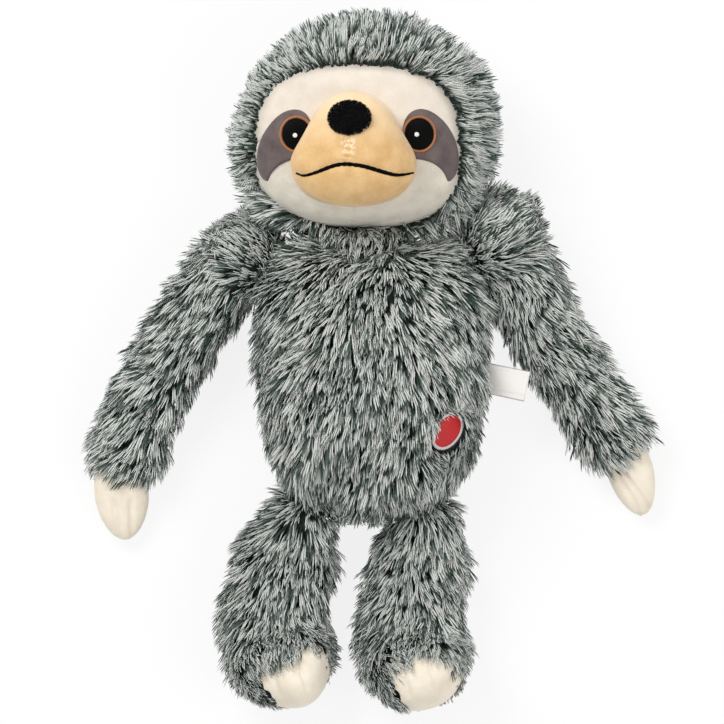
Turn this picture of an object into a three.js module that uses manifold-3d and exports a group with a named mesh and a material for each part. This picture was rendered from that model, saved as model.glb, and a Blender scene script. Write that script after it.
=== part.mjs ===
// Plush sloth: a soft toy with long frosted fur, lying on its back with its limbs let fall.
// Millimetres. +Z is up from the table, +Y runs from the feet to the head and +X to the toy's
// own left. The origin is the middle of the flat that the toy's back makes on the table.
// Fur is left out: an outer surface stands where the pile has its mean height.

import * as THREE from "three";
import { mergeVertices } from "three/addons/utils/BufferGeometryUtils.js";
import Module from "manifold-3d";

const wasm = await Module();
wasm.setup();

const X = new THREE.Vector3(1, 0, 0);
const Y = new THREE.Vector3(0, 1, 0);
const Z = new THREE.Vector3(0, 0, 1);

// Driving dimensions

// Gap left between any two pieces, and how far the toy's weight flattens what lies on the table
const CLEARANCE = 0.3;
const FLOOR_SINK = 0.5;
// How far a cutter runs past what it cuts
const OVERRUN = 4;

// Cloths with their backing. The face and the toes are of short pile, so they lie deeper than
// the fur round them.
const FUR_CLOTH = 6;
const SHORT_PILE = 2;
const PILE_DROP = 4;
const STITCH_HEIGHT = 0.8;

// Torso: a barrel widest at the chest. Shares of widths and depths run from its bottom to its top.
const TORSO = {
  length: 130,
  originShare: 0.54,
  halfWidth: 54.5,
  halfDepth: 37,
  widthShares: [0.92, 0.92, 0.96, 0.98, 1],
  depthShares: [0.94, 1, 1, 0.96, 0.9],
  endShare: 0.5,
  bottomFullness: { width: 4, depth: 3 },
  topFullness: { width: 7, depth: 3 },
};

// Head: a rounded block. Its lean and rise are measured from the neck's pivot.
const HEAD = {
  height: 102.5,
  halfWidth: 61,
  halfDepth: 43,
  fullness: 3.2,
  crownFullness: { width: 2.15, depth: 2.8 },
  neckRadius: 20,
  neckSink: 2,
  neckHeight: 38,
  lean: -3.8,
  gapOverTorso: 1.5,
};

// Face: the opening in the fur, and the grey patches round the eyes, from the head's middle
const FACE = {
  offset: { across: -3.4, up: -10 },
  halfWidth: 48.5,
  halfHeight: 39,
  corner: 2.5,
  patch: { across: 36, up: 3, halfLength: 21, halfWidth: 12.5, slope: 58 },
};

// Eyes, from the middle of the face. A glint sits off the pupil's middle.
const EYE = {
  across: 29,
  up: 6.4,
  halfWidth: 6.7,
  halfHeight: 7.4,
  ring: 1.1,
  glintRadius: 1.1,
  glint: { left: { across: -1.2, up: -0.2 }, right: { across: 0.6, up: -0.6 } },
};

// Muzzle, from the middle of the face: a blunt cone, wider at the mouth than at the nose
const MUZZLE = {
  across: -1.5,
  halfWidth: 29.2,
  halfHeight: 27,
  taper: 0.2,
  reach: 29,
  root: 16,
  widthShares: [0.9, 0.97, 1, 1],
  domeReach: 27,
  domeFullness: 2.3,
};

// Nose and mouth, from the middle of the muzzle
const NOSE = { across: -1.9, up: 14.9, halfWidth: 10.2, halfHeight: 8.5, halfDepth: 6, tilt: 24 };
const MOUTH = {
  up: -9.8,
  halfWidth: 26.6,
  wave: 2.9,
  period: 44,
  peak: -1.5,
  line: 1.8,
  cornerFullness: 4,
};

// Seam patches between a limb's round root and the hollow that it turns in
const SEAM = { thickness: 1.2, halfAngle: 20 };

// Arms. A hang is the slope outward from straight down, and a bow bends the arm outward.
const ARM = {
  halfWidth: 17,
  halfDepth: 16.5,
  widthShares: [1.1, 1, 0.98, 1, 1.06],
  depthShares: [1.1, 1, 0.93, 0.85, 0.79],
  rootOver: 3,
  endFullness: 3,
  shoulderOut: 5.5,
  shoulderHeight: 28,
  seamDirectionShares: [-0.9, -0.4, 0.2],
  cuffReach: 6,
  drop: { left: 0, right: 7 },
  reach: { left: 122.7, right: 124.5 },
  bowHeight: { left: -2.4, right: 7.1 },
  hang: { left: 30.7, right: 29.3 },
  swing: [-8, 75],
  raise: [-20, 75],
};

// Hands: flat mittens hinged in the arms' cuffs. They slope down to the table.
const HAND = {
  length: 34,
  halfWidth: 13,
  halfDepth: 8,
  widthShares: [0.74, 0.92, 1, 0.95],
  rootFullness: { width: 8, depth: 2 },
  tipReach: 15,
  tipFullness: 2.2,
  cuffDepth: 4,
  droop: 11,
  left: { outward: 11 },
  right: { outward: -2 },
  bend: [-20, 50],
};

// Legs: thin where they are sewn to the torso, thick at the feet, with the toes turned up.
// A splay is the slope outward from straight down, and so is a foot's turn.
const LEG = {
  halfWidth: 25,
  halfDepth: 23,
  widthShares: [0.84, 0.92, 0.97, 1.03, 1],
  depthShares: [0.72, 0.84, 0.92, 0.98, 0.98],
  shinDepthShare: 0.92,
  rootRadius: 18,
  rootReach: 9,
  rootFullness: 3,
  hipBelowTorso: 4,
  hipHeight: 24,
  shinShare: 0.55,
  footReach: 56,
  toeReach: 31,
  toeRise: 25,
  domeReach: 26,
  domeFullness: 2,
  toeCap: 17,
  toeCapTurn: 18,
  left: { hipOut: 25, splay: -6.7, shinOut: 0, turn: 13.2 },
  right: { hipOut: 34, splay: 12.1, shinOut: 3.5, turn: -18.9 },
  swing: [-3, 30],
  raise: [-15, 80],
};

// Neck's ranges
const NECK = { nod: [-20, 35], turn: [-35, 35] };

// Squeaker: a flattened blown bulb with a reed plugged into its neck
const SQUEAKER = {
  radius: 20,
  halfHeight: 11,
  wall: 1.2,
  neckRadius: 4.5,
  neckHeight: 3,
  reedWall: 1,
  reedLength: 9,
  flange: 1.5,
  slot: 0.8,
};

// Oval label on the belly, and the woven label sewn into the left side seam
const BELLY_LABEL = {
  acrossShare: 0.6514,
  upShare: -0.2408,
  halfLength: 9.2,
  halfWidth: 6.6,
  tilt: -30,
};
const CARE_LABEL = { up: -6, length: 20.5, width: 14.5, ply: 0.6, slope: -12 };

// Facets of the rounded forms, and steps between two turned copies of a limb
const FACETS = {
  torso: { sides: 20, rings: 10 },
  head: { sides: 24, rings: 9 },
  limb: { sides: 16, rings: 8 },
  hand: { sides: 12, rings: 6 },
  muzzle: { sides: 18, rings: 7 },
  filling: { sides: 10, rings: 8 },
  room: { sides: 10, rings: 6 },
  outline: 20,
  ball: { around: 12, down: 6 },
  arc: 6,
  swing: 4,
  raise: 6,
};

const FINISHES = {
  fur: { color: 0x87918b, roughness: 1, metalness: 0 },
  cream: { color: 0xefe6d6, roughness: 0.95, metalness: 0 },
  cheek: { color: 0xddd8cc, roughness: 0.95, metalness: 0 },
  grey: { color: 0x8a7d80, roughness: 0.95, metalness: 0 },
  tan: { color: 0xe6c492, roughness: 0.95, metalness: 0 },
  black: { color: 0x111113, roughness: 0.8, metalness: 0 },
  orange: { color: 0xc47a35, roughness: 0.6, metalness: 0 },
  white: { color: 0xf4f4f2, roughness: 0.6, metalness: 0 },
  filling: { color: 0xf3f1ec, roughness: 1, metalness: 0 },
  seam: { color: 0x2f3a36, roughness: 1, metalness: 0 },
  red: { color: 0xc01f28, roughness: 0.5, metalness: 0 },
  bulb: { color: 0xe8e4d8, roughness: 0.4, metalness: 0 },
};

// Solids

// A closed geometry as a solid
function solidOf(geometry) {
  const bare = geometry.clone();
  bare.deleteAttribute("normal");
  bare.deleteAttribute("uv");
  const merged = mergeVertices(bare);
  const mesh = new wasm.Mesh({
    numProp: 3,
    vertProperties: merged.attributes.position.array,
    triVerts: new Uint32Array(merged.index.array),
  });
  return new wasm.Manifold(mesh);
}

// A solid's faces as a geometry
function geometryOf(solid) {
  const { vertProperties, triVerts } = solid.getMesh();
  const geometry = new THREE.BufferGeometry();
  geometry.setAttribute("position", new THREE.BufferAttribute(vertProperties, 3));
  geometry.setIndex(new THREE.BufferAttribute(triVerts, 1));
  const faceted = geometry.toNonIndexed();
  faceted.computeVertexNormals();
  return faceted;
}

const joined = (solids) => solids.reduce((whole, solid) => whole.add(solid));

// A block large enough to hold the toy, on the side of a plane that its normal points to
function beyond(point, normal, gap = 0) {
  const size = 2 * (TORSO.length + HEAD.height + ARM.reach.left + ARM.reach.right);
  const block = new THREE.BoxGeometry(size, size, size);
  block.translate(0, 0, size / 2 + gap);
  block.applyQuaternion(new THREE.Quaternion().setFromUnitVectors(Z, normal));
  block.translate(point.x, point.y, point.z);
  return solidOf(block);
}

// The two sides of a seam, with the running gap between them
function halvesOf(solid, point, normal) {
  const back = normal.clone().negate();
  return [normal, back].map((side) => solid.intersect(beyond(point, side, CLEARANCE / 2)));
}

// Poles point up and down, so that a limb meets the flats about its equator
function ball(centre, radius) {
  const { around, down } = FACETS.ball;
  const sphere = new THREE.SphereGeometry(radius, around, down);
  sphere.rotateX(Math.PI / 2);
  sphere.translate(centre.x, centre.y, centre.z);
  return solidOf(sphere);
}

// A ball whose flat facets still clear the radius
function hollow(centre, radius) {
  const { around, down } = FACETS.ball;
  return ball(centre, radius / Math.cos(Math.PI / around) / Math.cos(Math.PI / down / 2));
}

// An outline in the plane of the table, drawn up between two heights
function prism(shape, low, high) {
  const depth = high - low;
  const geometry = new THREE.ExtrudeGeometry(shape, { depth, bevelEnabled: false });
  geometry.translate(0, 0, low);
  return solidOf(geometry);
}

// A closed outline round a centre, of a formula that takes an angle
function outline(centre, formula) {
  const points = [];
  for (let i = 0; i < FACETS.outline; i += 1) {
    const { x, y } = formula((2 * Math.PI * i) / FACETS.outline);
    points.push(new THREE.Vector2(centre.x + x, centre.y + y));
  }
  return new THREE.Shape(points);
}

// A squared or a plain ellipse, turned by a slope in degrees
function oval(centre, halfWidth, halfHeight, slope = 0, corner = 2) {
  const turn = THREE.MathUtils.degToRad(slope);
  const squared = (value) => Math.sign(value) * Math.abs(value) ** (2 / corner);
  return outline(centre, (angle) => {
    const point = new THREE.Vector2(
      halfWidth * squared(Math.cos(angle)),
      halfHeight * squared(Math.sin(angle)),
    );
    return point.rotateAround(new THREE.Vector2(), turn);
  });
}

// Soft forms: rings lofted along a spine, with a rounded end at each end of it. An inset form
// lies inside the full one at an even depth, and a negative inset lies outside it.

function softForm({ spine, up = Z, squareness = 2.3, taper = 0, ...sizes }) {
  const length = spine.getLength();
  const spread = (shares) => {
    const stations = shares.map((share, i) => i / (shares.length - 1));
    return new THREE.CubicInterpolant(stations, shares, 1);
  };
  return {
    ...sizes,
    spine,
    up,
    squareness,
    taper,
    length,
    widths: spread(sizes.widthShares),
    depths: spread(sizes.depthShares),
  };
}

// Share of the full size that a rounded end has at a distance from its tip
function roundness(distance, reach, fullness) {
  const left = Math.max(1 - distance / reach, 0);
  return Math.sqrt(Math.max(1 - left ** fullness, 0));
}

function halfSizes(form, along, inset) {
  const share = THREE.MathUtils.clamp(along / form.length, 0, 1);
  const size = (full, shares, key) => {
    const { start, end } = form;
    const rise = roundness(along - inset, start.reach, start[key] ?? start.fullness);
    const fall = roundness(form.length - along - inset, end.reach, end[key] ?? end.fullness);
    return (full * shares.evaluate(share)[0] - inset) * rise * fall;
  };
  return {
    width: size(form.halfWidth, form.widths, "width"),
    depth: size(form.halfDepth, form.depths, "depth"),
  };
}

// Place and directions on the spine, which runs on straight past its ends
function frameAt(form, along) {
  const inside = THREE.MathUtils.clamp(along, 0, form.length);
  const tangent = form.spine.getTangentAt(inside / form.length);
  const place = form.spine.getPointAt(inside / form.length);
  place.addScaledVector(tangent, along - inside);
  const side = new THREE.Vector3().crossVectors(form.up, tangent).normalize();
  const lift = new THREE.Vector3().crossVectors(tangent, side);
  return { place, side, lift, tangent };
}

function ringAt(form, along, inset, sides) {
  const { place, side, lift } = frameAt(form, along);
  const { width, depth } = halfSizes(form, along, inset);
  const squared = (value) => Math.sign(value) * Math.abs(value) ** (2 / form.squareness);
  const ring = [];
  for (let i = 0; i < sides; i += 1) {
    const angle = (2 * Math.PI * i) / sides;
    const across = width * squared(Math.cos(angle)) * (1 - form.taper * Math.sin(angle));
    const rise = depth * squared(Math.sin(angle));
    ring.push(place.clone().addScaledVector(side, across).addScaledVector(lift, rise));
  }
  return ring;
}

// Places of the rings along the spine, closer together towards the rounded ends
function stationsOf(form, inset, rings) {
  const reach = form.length - 2 * inset;
  return Array.from({ length: rings + 1 }, (_, i) => {
    return inset + (reach * (1 - Math.cos((Math.PI * i) / rings))) / 2;
  });
}

// Half width of a lofted form where it runs straight from one ring to the next
function loftedWidth(form, along) {
  const stations = stationsOf(form, 0, form.facets.rings);
  const next = stations.findIndex((station) => station > along);
  const [low, high] = [stations[next - 1], stations[next]];
  const [wide, narrow] = [low, high].map((station) => halfSizes(form, station, 0).width);
  return THREE.MathUtils.lerp(wide, narrow, (along - low) / (high - low));
}

function loft(form, inset = 0, facets = form.facets) {
  const { sides, rings } = facets;
  const stations = stationsOf(form, inset, rings);
  const points = [frameAt(form, stations.at(0)).place];
  for (const along of stations.slice(1, -1)) points.push(...ringAt(form, along, inset, sides));
  points.push(frameAt(form, stations.at(-1)).place);
  const tip = points.length - 1;
  const faces = [];
  for (let j = 0; j < sides; j += 1) {
    const next = (j + 1) % sides;
    faces.push(0, 1 + next, 1 + j);
    for (let i = 0; i < rings - 2; i += 1) {
      const low = 1 + i * sides;
      const high = low + sides;
      faces.push(low + j, low + next, high + j, low + next, high + next, high + j);
    }
    faces.push(tip, tip - sides + j, tip - sides + next);
  }
  const geometry = new THREE.BufferGeometry().setFromPoints(points);
  geometry.setIndex(faces);
  return geometry;
}

// A limb's outside, or what lies inside it at a depth: its lofted form and its round root
function limbSolid(limb, inset = 0) {
  const form = solidOf(loft(limb.form, inset));
  return form.add(ball(limb.pivot, limb.rootRadius - inset));
}

const TABLE = new THREE.Vector3();
const table = beyond(TABLE, Z.clone().negate());

// A cover of fur cloth, flat where it lies on the table
function coverOf(limb) {
  return limbSolid(limb).subtract(limbSolid(limb, FUR_CLOTH)).subtract(table);
}

// The layer between two depths of a limb
const layer = (limb, outer, inner) => limbSolid(limb, outer).subtract(limbSolid(limb, inner));

// How far a form's flats lie inside its rounded surface
function sagOf(form, sides) {
  return form.halfWidth * (1 - Math.cos(Math.PI / sides));
}

// The stuffing has fewer facets than its cover, so it clears the cover's flats twice over
function fillingForm(form, cloth) {
  const inset = cloth + CLEARANCE + 2 * sagOf(form, form.facets.sides);
  return solidOf(loft(form, inset, FACETS.filling));
}

function fillingOf(limb) {
  const root = ball(limb.pivot, limb.rootRadius - FUR_CLOTH - CLEARANCE);
  return fillingForm(limb.form, FUR_CLOTH).add(root);
}

// A thin dish round a limb's root, on the side that a direction points to. It is turned half a
// facet, so that its edges meet the flats of the hollow.
function seamDish(limb, direction) {
  const inner = limb.rootRadius + CLEARANCE;
  const outer = inner + SEAM.thickness;
  const rim = THREE.MathUtils.degToRad(SEAM.halfAngle);
  const angles = anglesOver([0, rim], FACETS.arc / 2);
  const arc = (radius) => {
    return angles.map((angle) => new THREE.Vector2(Math.sin(angle), Math.cos(angle)))
      .map((point) => point.multiplyScalar(radius));
  };
  const profile = [...arc(inner), ...arc(outer).reverse()];
  const { around } = FACETS.ball;
  const dish = new THREE.LatheGeometry(profile, around, Math.PI / around);
  dish.applyQuaternion(new THREE.Quaternion().setFromUnitVectors(Y, direction));
  dish.translate(limb.pivot.x, limb.pivot.y, limb.pivot.z);
  return solidOf(dish);
}

// The hollow that holds a limb's root and its seam dish
function socketOf(limb) {
  return hollow(limb.pivot, limb.rootRadius + 2 * CLEARANCE + SEAM.thickness);
}

// A turn about an axis through a point, in degrees
function turnAbout(point, axis, degrees) {
  const turn = new THREE.Matrix4().makeRotationAxis(axis, THREE.MathUtils.degToRad(degrees));
  const there = new THREE.Matrix4().makeTranslation(point.x, point.y, point.z);
  const back = new THREE.Matrix4().makeTranslation(-point.x, -point.y, -point.z);
  return there.multiply(turn).multiply(back);
}

// Evenly spaced angles over a range
function anglesOver([low, high], steps) {
  return Array.from({ length: steps + 1 }, (_, i) => low + ((high - low) * i) / steps);
}

// The space that a limb sweeps near its root as two joints turn it through their ranges
function sweptSpace(limb, outer, inner) {
  const grow = 2 * CLEARANCE + sagOf(limb.form, FACETS.room.sides);
  const room = loft(limb.form, -grow, FACETS.room);
  const copies = [];
  for (const outerTurn of anglesOver(outer.range, outer.steps)) {
    const first = turnAbout(limb.pivot, outer.axis, outerTurn);
    for (const innerTurn of anglesOver(inner.range, inner.steps)) {
      const both = first.clone().multiply(turnAbout(limb.pivot, inner.axis, innerTurn));
      copies.push(solidOf(room.clone().applyMatrix4(both)));
    }
  }
  return joined(copies);
}

// Scene graph

// A group whose origin is a pivot of the toy
function pivotGroup(parent, name, pivot) {
  const group = new THREE.Group();
  group.name = name;
  group.userData.pivot = pivot;
  group.position.copy(pivot).sub(parent.userData.pivot);
  parent.add(group);
  return group;
}

// A named piece, made in the toy's own frame, put into the group of its body
function addPiece(group, name, solid, finish) {
  const { pivot } = group.userData;
  const geometry = geometryOf(solid);
  geometry.translate(-pivot.x, -pivot.y, -pivot.z);
  const mesh = new THREE.Mesh(geometry, new THREE.MeshStandardMaterial(FINISHES[finish]));
  mesh.name = name;
  group.add(mesh);
}

// Places

const SIDES = ["left", "right"];
const outwardOf = (side) => (side === "left" ? 1 : -1);

// A direction in the plane of the table, sloping outward from straight down the toy
function downward(side, slope) {
  const angle = THREE.MathUtils.degToRad(slope);
  return new THREE.Vector3(outwardOf(side) * Math.sin(angle), -Math.cos(angle), 0);
}

const torsoBottom = -TORSO.length * TORSO.originShare;
const torsoTop = torsoBottom + TORSO.length;
const seamHeight = TORSO.halfDepth - FLOOR_SINK;
const seamPoint = new THREE.Vector3(0, 0, seamHeight);

const torsoForm = softForm({
  spine: new THREE.LineCurve3(
    new THREE.Vector3(0, torsoBottom, seamHeight),
    new THREE.Vector3(0, torsoTop, seamHeight),
  ),
  halfWidth: TORSO.halfWidth,
  halfDepth: TORSO.halfDepth,
  widthShares: TORSO.widthShares,
  depthShares: TORSO.depthShares,
  start: { reach: TORSO.length * TORSO.endShare, ...TORSO.bottomFullness },
  end: { reach: TORSO.length * TORSO.endShare, ...TORSO.topFullness },
  facets: FACETS.torso,
});

// Head

function headLimb() {
  const pivot = new THREE.Vector3(HEAD.lean, torsoTop - HEAD.neckSink, HEAD.neckHeight);
  const bottom = torsoTop + HEAD.gapOverTorso;
  const middle = HEAD.halfDepth - FLOOR_SINK;
  const reach = HEAD.height / 2;
  const form = softForm({
    spine: new THREE.LineCurve3(
      new THREE.Vector3(HEAD.lean, bottom, middle),
      new THREE.Vector3(HEAD.lean, bottom + HEAD.height, middle),
    ),
    halfWidth: HEAD.halfWidth,
    halfDepth: HEAD.halfDepth,
    widthShares: [1, 1],
    depthShares: [1, 1],
    start: { reach, fullness: HEAD.fullness },
    end: { reach, ...HEAD.crownFullness },
    facets: FACETS.head,
  });
  return { form, pivot, rootRadius: HEAD.neckRadius };
}

function muzzleForm(head) {
  const { across } = FACE.offset;
  const middle = frameAt(head.form, head.form.length / 2).place;
  const centre = middle.clone();
  centre.x += across + MUZZLE.across;
  centre.y += FACE.offset.up;
  centre.z += HEAD.halfDepth - PILE_DROP;
  const root = centre.clone().addScaledVector(Z, -MUZZLE.root);
  const tip = centre.clone().addScaledVector(Z, MUZZLE.reach);
  return softForm({
    spine: new THREE.LineCurve3(root, tip),
    up: Y,
    squareness: 2,
    taper: MUZZLE.taper,
    halfWidth: MUZZLE.halfWidth,
    halfDepth: MUZZLE.halfHeight,
    widthShares: MUZZLE.widthShares,
    depthShares: MUZZLE.widthShares,
    start: { reach: SHORT_PILE + OVERRUN, fullness: HEAD.fullness },
    end: { reach: MUZZLE.domeReach, fullness: MUZZLE.domeFullness },
    facets: FACETS.muzzle,
  });
}

function faceCentre(head) {
  const middle = frameAt(head.form, head.form.length / 2).place;
  return new THREE.Vector3(
    middle.x + FACE.offset.across,
    middle.y + FACE.offset.up,
    middle.z,
  );
}

// Everything of the face is cut from layers of the head by outlines drawn straight to the front
function faceCutter(head, shape) {
  const middle = faceCentre(head).z;
  return prism(shape, middle, middle + HEAD.halfDepth + MUZZLE.reach + OVERRUN);
}

function patchShape(head, side, grow) {
  const { across, up, halfLength, halfWidth, slope } = FACE.patch;
  const middle = faceCentre(head);
  const outward = outwardOf(side);
  const centre = new THREE.Vector2(middle.x + outward * across, middle.y + up);
  return oval(centre, halfLength + grow, halfWidth + grow, -outward * slope);
}

function eyeShape(head, side, grow) {
  const middle = faceCentre(head);
  const centre = new THREE.Vector2(middle.x + outwardOf(side) * EYE.across, middle.y + EYE.up);
  return oval(centre, EYE.halfWidth + grow, EYE.halfHeight + grow);
}

function glintShape(head, side, grow) {
  const middle = faceCentre(head);
  const { across, up } = EYE.glint[side];
  const x = middle.x + outwardOf(side) * (EYE.across + across);
  const centre = new THREE.Vector2(x, middle.y + EYE.up + up);
  return oval(centre, EYE.glintRadius + grow, EYE.glintRadius + grow);
}

// The mouth: a waved line, pointed at its corners
function mouthShape(centre) {
  const middle = centre.y + MOUTH.up;
  const edge = (sign) => {
    const points = [];
    for (let i = 0; i <= FACETS.outline; i += 1) {
      const share = (2 * i) / FACETS.outline - 1;
      const x = share * MOUTH.halfWidth;
      const wave = MOUTH.wave * Math.cos((2 * Math.PI * (x - MOUTH.peak)) / MOUTH.period);
      const half = (MOUTH.line / 2) * roundness(1 - Math.abs(share), 1, MOUTH.cornerFullness);
      points.push(new THREE.Vector2(centre.x + x, middle + wave + sign * half));
    }
    return points;
  };
  const top = edge(1).reverse().slice(1, -1);
  return new THREE.Shape([...edge(-1), ...top]);
}

function noseSolid(centre) {
  const nose = new THREE.SphereGeometry(1, FACETS.ball.around, FACETS.ball.down);
  nose.rotateX(Math.PI / 2);
  nose.scale(NOSE.halfWidth, NOSE.halfHeight, NOSE.halfDepth);
  nose.rotateX(-THREE.MathUtils.degToRad(NOSE.tilt));
  nose.translate(centre.x, centre.y, centre.z);
  return solidOf(nose);
}

function addHead(parent) {
  const head = headLimb();
  const seam = pivotGroup(parent, "neck", head.pivot);
  addPiece(seam, "neck_seam", seamDish(head, Y.clone().negate()), "seam");
  const group = pivotGroup(seam, "head", head.pivot);

  const face = faceCentre(head);
  const muzzle = muzzleForm(head);
  const centre = frameAt(muzzle, 0).place;
  const muzzleOutside = solidOf(loft(muzzle));
  const muzzleRoom = solidOf(loft(muzzle, -CLEARANCE));
  const faceShape = (grow) =>
    oval(face, FACE.halfWidth + grow, FACE.halfHeight + grow, 0, FACE.corner);

  // Covers of fur cloth, open at the face
  const opened = coverOf(head).subtract(faceCutter(head, faceShape(0)));
  halvesOf(opened, head.pivot, X).forEach((half, i) => {
    addPiece(group, `head_cover_${SIDES[i]}`, half, "fur");
  });

  // Short-pile panels that fill the opening, round the eye patches and the muzzle
  const skin = layer(head, PILE_DROP, FUR_CLOTH)
    .intersect(faceCutter(head, faceShape(-CLEARANCE)))
    .subtract(muzzleRoom);
  const patchRooms = SIDES.map((side) => faceCutter(head, patchShape(head, side, CLEARANCE)));
  const panels = patchRooms.reduce((rest, room) => rest.subtract(room), skin);
  const browPoint = new THREE.Vector3(face.x, face.y + FACE.patch.up, face.z);
  const [forehead, chin] = halvesOf(panels, browPoint, Y);
  addPiece(group, "forehead_panel", forehead, "cream");
  addPiece(group, "chin_panel", chin, "cheek");

  // Stitching lies on the cloth that carries it
  const stitches = layer(head, PILE_DROP - CLEARANCE - STITCH_HEIGHT, PILE_DROP - CLEARANCE)
    .intersect(faceCutter(head, faceShape(-CLEARANCE)))
    .subtract(muzzleRoom);
  for (const side of SIDES) {
    const patch = skin.intersect(faceCutter(head, patchShape(head, side, 0)));
    addPiece(group, `eye_patch_${side}`, patch, "grey");
    const pupil = stitches.intersect(faceCutter(head, eyeShape(head, side, 0)));
    const glintRoom = faceCutter(head, glintShape(head, side, CLEARANCE));
    addPiece(group, `eye_pupil_${side}`, pupil.subtract(glintRoom), "black");
    const ring = stitches
      .intersect(faceCutter(head, eyeShape(head, side, CLEARANCE + EYE.ring)))
      .subtract(faceCutter(head, eyeShape(head, side, CLEARANCE)));
    addPiece(group, `eye_ring_${side}`, ring, "orange");
    const glint = stitches.intersect(faceCutter(head, glintShape(head, side, 0)));
    addPiece(group, `eye_glint_${side}`, glint, "white");
  }

  // Muzzle, with its nose and mouth
  const headInside = limbSolid(head, FUR_CLOTH);
  const muzzleSkin = muzzleOutside
    .subtract(solidOf(loft(muzzle, SHORT_PILE)))
    .subtract(headInside);
  halvesOf(muzzleSkin, centre, X).forEach((half, i) => {
    addPiece(group, `muzzle_${SIDES[i]}`, half, "tan");
  });
  const muzzleInside = fillingForm(muzzle, SHORT_PILE);
  addPiece(group, "muzzle_stuffing", muzzleInside.subtract(headInside), "filling");
  const domeFoot = frameAt(muzzle, muzzle.length - MUZZLE.domeReach).place;
  const mouth = solidOf(loft(muzzle, -CLEARANCE - STITCH_HEIGHT))
    .subtract(muzzleRoom)
    .subtract(limbSolid(head, PILE_DROP - CLEARANCE))
    .intersect(faceCutter(head, mouthShape(centre)))
    .intersect(beyond(domeFoot, Z));
  addPiece(group, "mouth_stitching", mouth, "black");
  const nosePlace = nosePlaceOn(muzzle);
  addPiece(group, "nose", noseSolid(nosePlace).subtract(muzzleRoom), "black");
  addPiece(group, "head_stuffing", fillingOf(head), "filling");
  return head;
}

// Where the muzzle's dome has fallen to the nose's height above its middle
function nosePlaceOn(muzzle) {
  const centre = frameAt(muzzle, muzzle.length).place;
  const share = NOSE.up / MUZZLE.halfHeight;
  const along = MUZZLE.domeReach * (1 - (1 - share ** 2) ** (1 / MUZZLE.domeFullness));
  return new THREE.Vector3(centre.x + NOSE.across, centre.y + NOSE.up, centre.z - along);
}

// Arms and hands

function armLimb(side) {
  const outward = outwardOf(side);
  const rootRadius = ARM.halfWidth + ARM.rootOver;
  const shoulder = new THREE.Vector3(
    outward * (TORSO.halfWidth + ARM.shoulderOut),
    torsoTop - ARM.drop[side],
    ARM.shoulderHeight,
  );
  const direction = downward(side, ARM.hang[side]);
  const wristHeight = ARM.halfDepth * ARM.depthShares.at(-1) - FLOOR_SINK;
  const wrist = shoulder.clone().addScaledVector(direction, ARM.reach[side]);
  wrist.z = wristHeight;
  const outside = new THREE.Vector3(-direction.y * outward, direction.x * outward, 0);
  const bend = shoulder.clone().add(wrist).divideScalar(2);
  bend.addScaledVector(outside, 2 * ARM.bowHeight[side]);
  const form = softForm({
    spine: new THREE.QuadraticBezierCurve3(shoulder, bend, wrist),
    halfWidth: ARM.halfWidth,
    halfDepth: ARM.halfDepth,
    widthShares: ARM.widthShares,
    depthShares: ARM.depthShares,
    start: { reach: rootRadius / 2, fullness: ARM.endFullness },
    end: { reach: ARM.cuffReach, fullness: ARM.endFullness },
    facets: FACETS.limb,
  });
  return { form, pivot: shoulder, rootRadius, direction, side };
}

function handForm(arm) {
  const { side } = arm;
  const pivot = frameAt(arm.form, arm.form.length - HAND.cuffDepth).place;
  const droop = THREE.MathUtils.degToRad(HAND.droop);
  const direction = downward(side, HAND[side].outward).multiplyScalar(Math.cos(droop));
  direction.z = -Math.sin(droop);
  const root = pivot.clone().addScaledVector(direction, -HAND.halfDepth);
  const tip = pivot.clone().addScaledVector(direction, HAND.length);
  const form = softForm({
    spine: new THREE.LineCurve3(root, tip),
    halfWidth: HAND.halfWidth,
    halfDepth: HAND.halfDepth,
    widthShares: HAND.widthShares,
    depthShares: [1, 1],
    start: { reach: HAND.halfDepth, ...HAND.rootFullness },
    end: { reach: HAND.tipReach, fullness: HAND.tipFullness },
    facets: FACETS.hand,
  });
  return { form, pivot, direction };
}

// The slot that a hand needs in the cuff as its wrist bends: round about the hinge line, and
// opening outward to the slopes of the hand at the two ends of its range
function wristRoom(hand, cuff) {
  const radius = HAND.halfDepth + 2 * CLEARANCE;
  const [low, high] = HAND.bend.map((degrees) => THREE.MathUtils.degToRad(degrees));
  const shape = new THREE.Shape();
  shape.absarc(0, 0, radius, high + Math.PI / 2, low - Math.PI / 2);
  const mouth = (angle, sign) => {
    const edge = new THREE.Vector2(cuff, sign * radius);
    return edge.rotateAround(new THREE.Vector2(), angle);
  };
  for (const corner of [mouth(low, -1), mouth(high, 1)]) shape.lineTo(corner.x, corner.y);
  const root = halfSizes(hand.form, HAND.halfDepth + ARM.cuffReach, 0);
  const width = 2 * (root.width + 2 * CLEARANCE);
  const slot = new THREE.ExtrudeGeometry(shape, {
    depth: width,
    bevelEnabled: false,
    curveSegments: FACETS.arc,
  });
  slot.translate(0, 0, -width / 2);
  const { side, lift } = frameAt(hand.form, 0);
  const turn = new THREE.Matrix4().makeBasis(hand.direction, lift, side.negate());
  slot.applyMatrix4(turn.setPosition(hand.pivot));
  return solidOf(slot);
}

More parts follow.
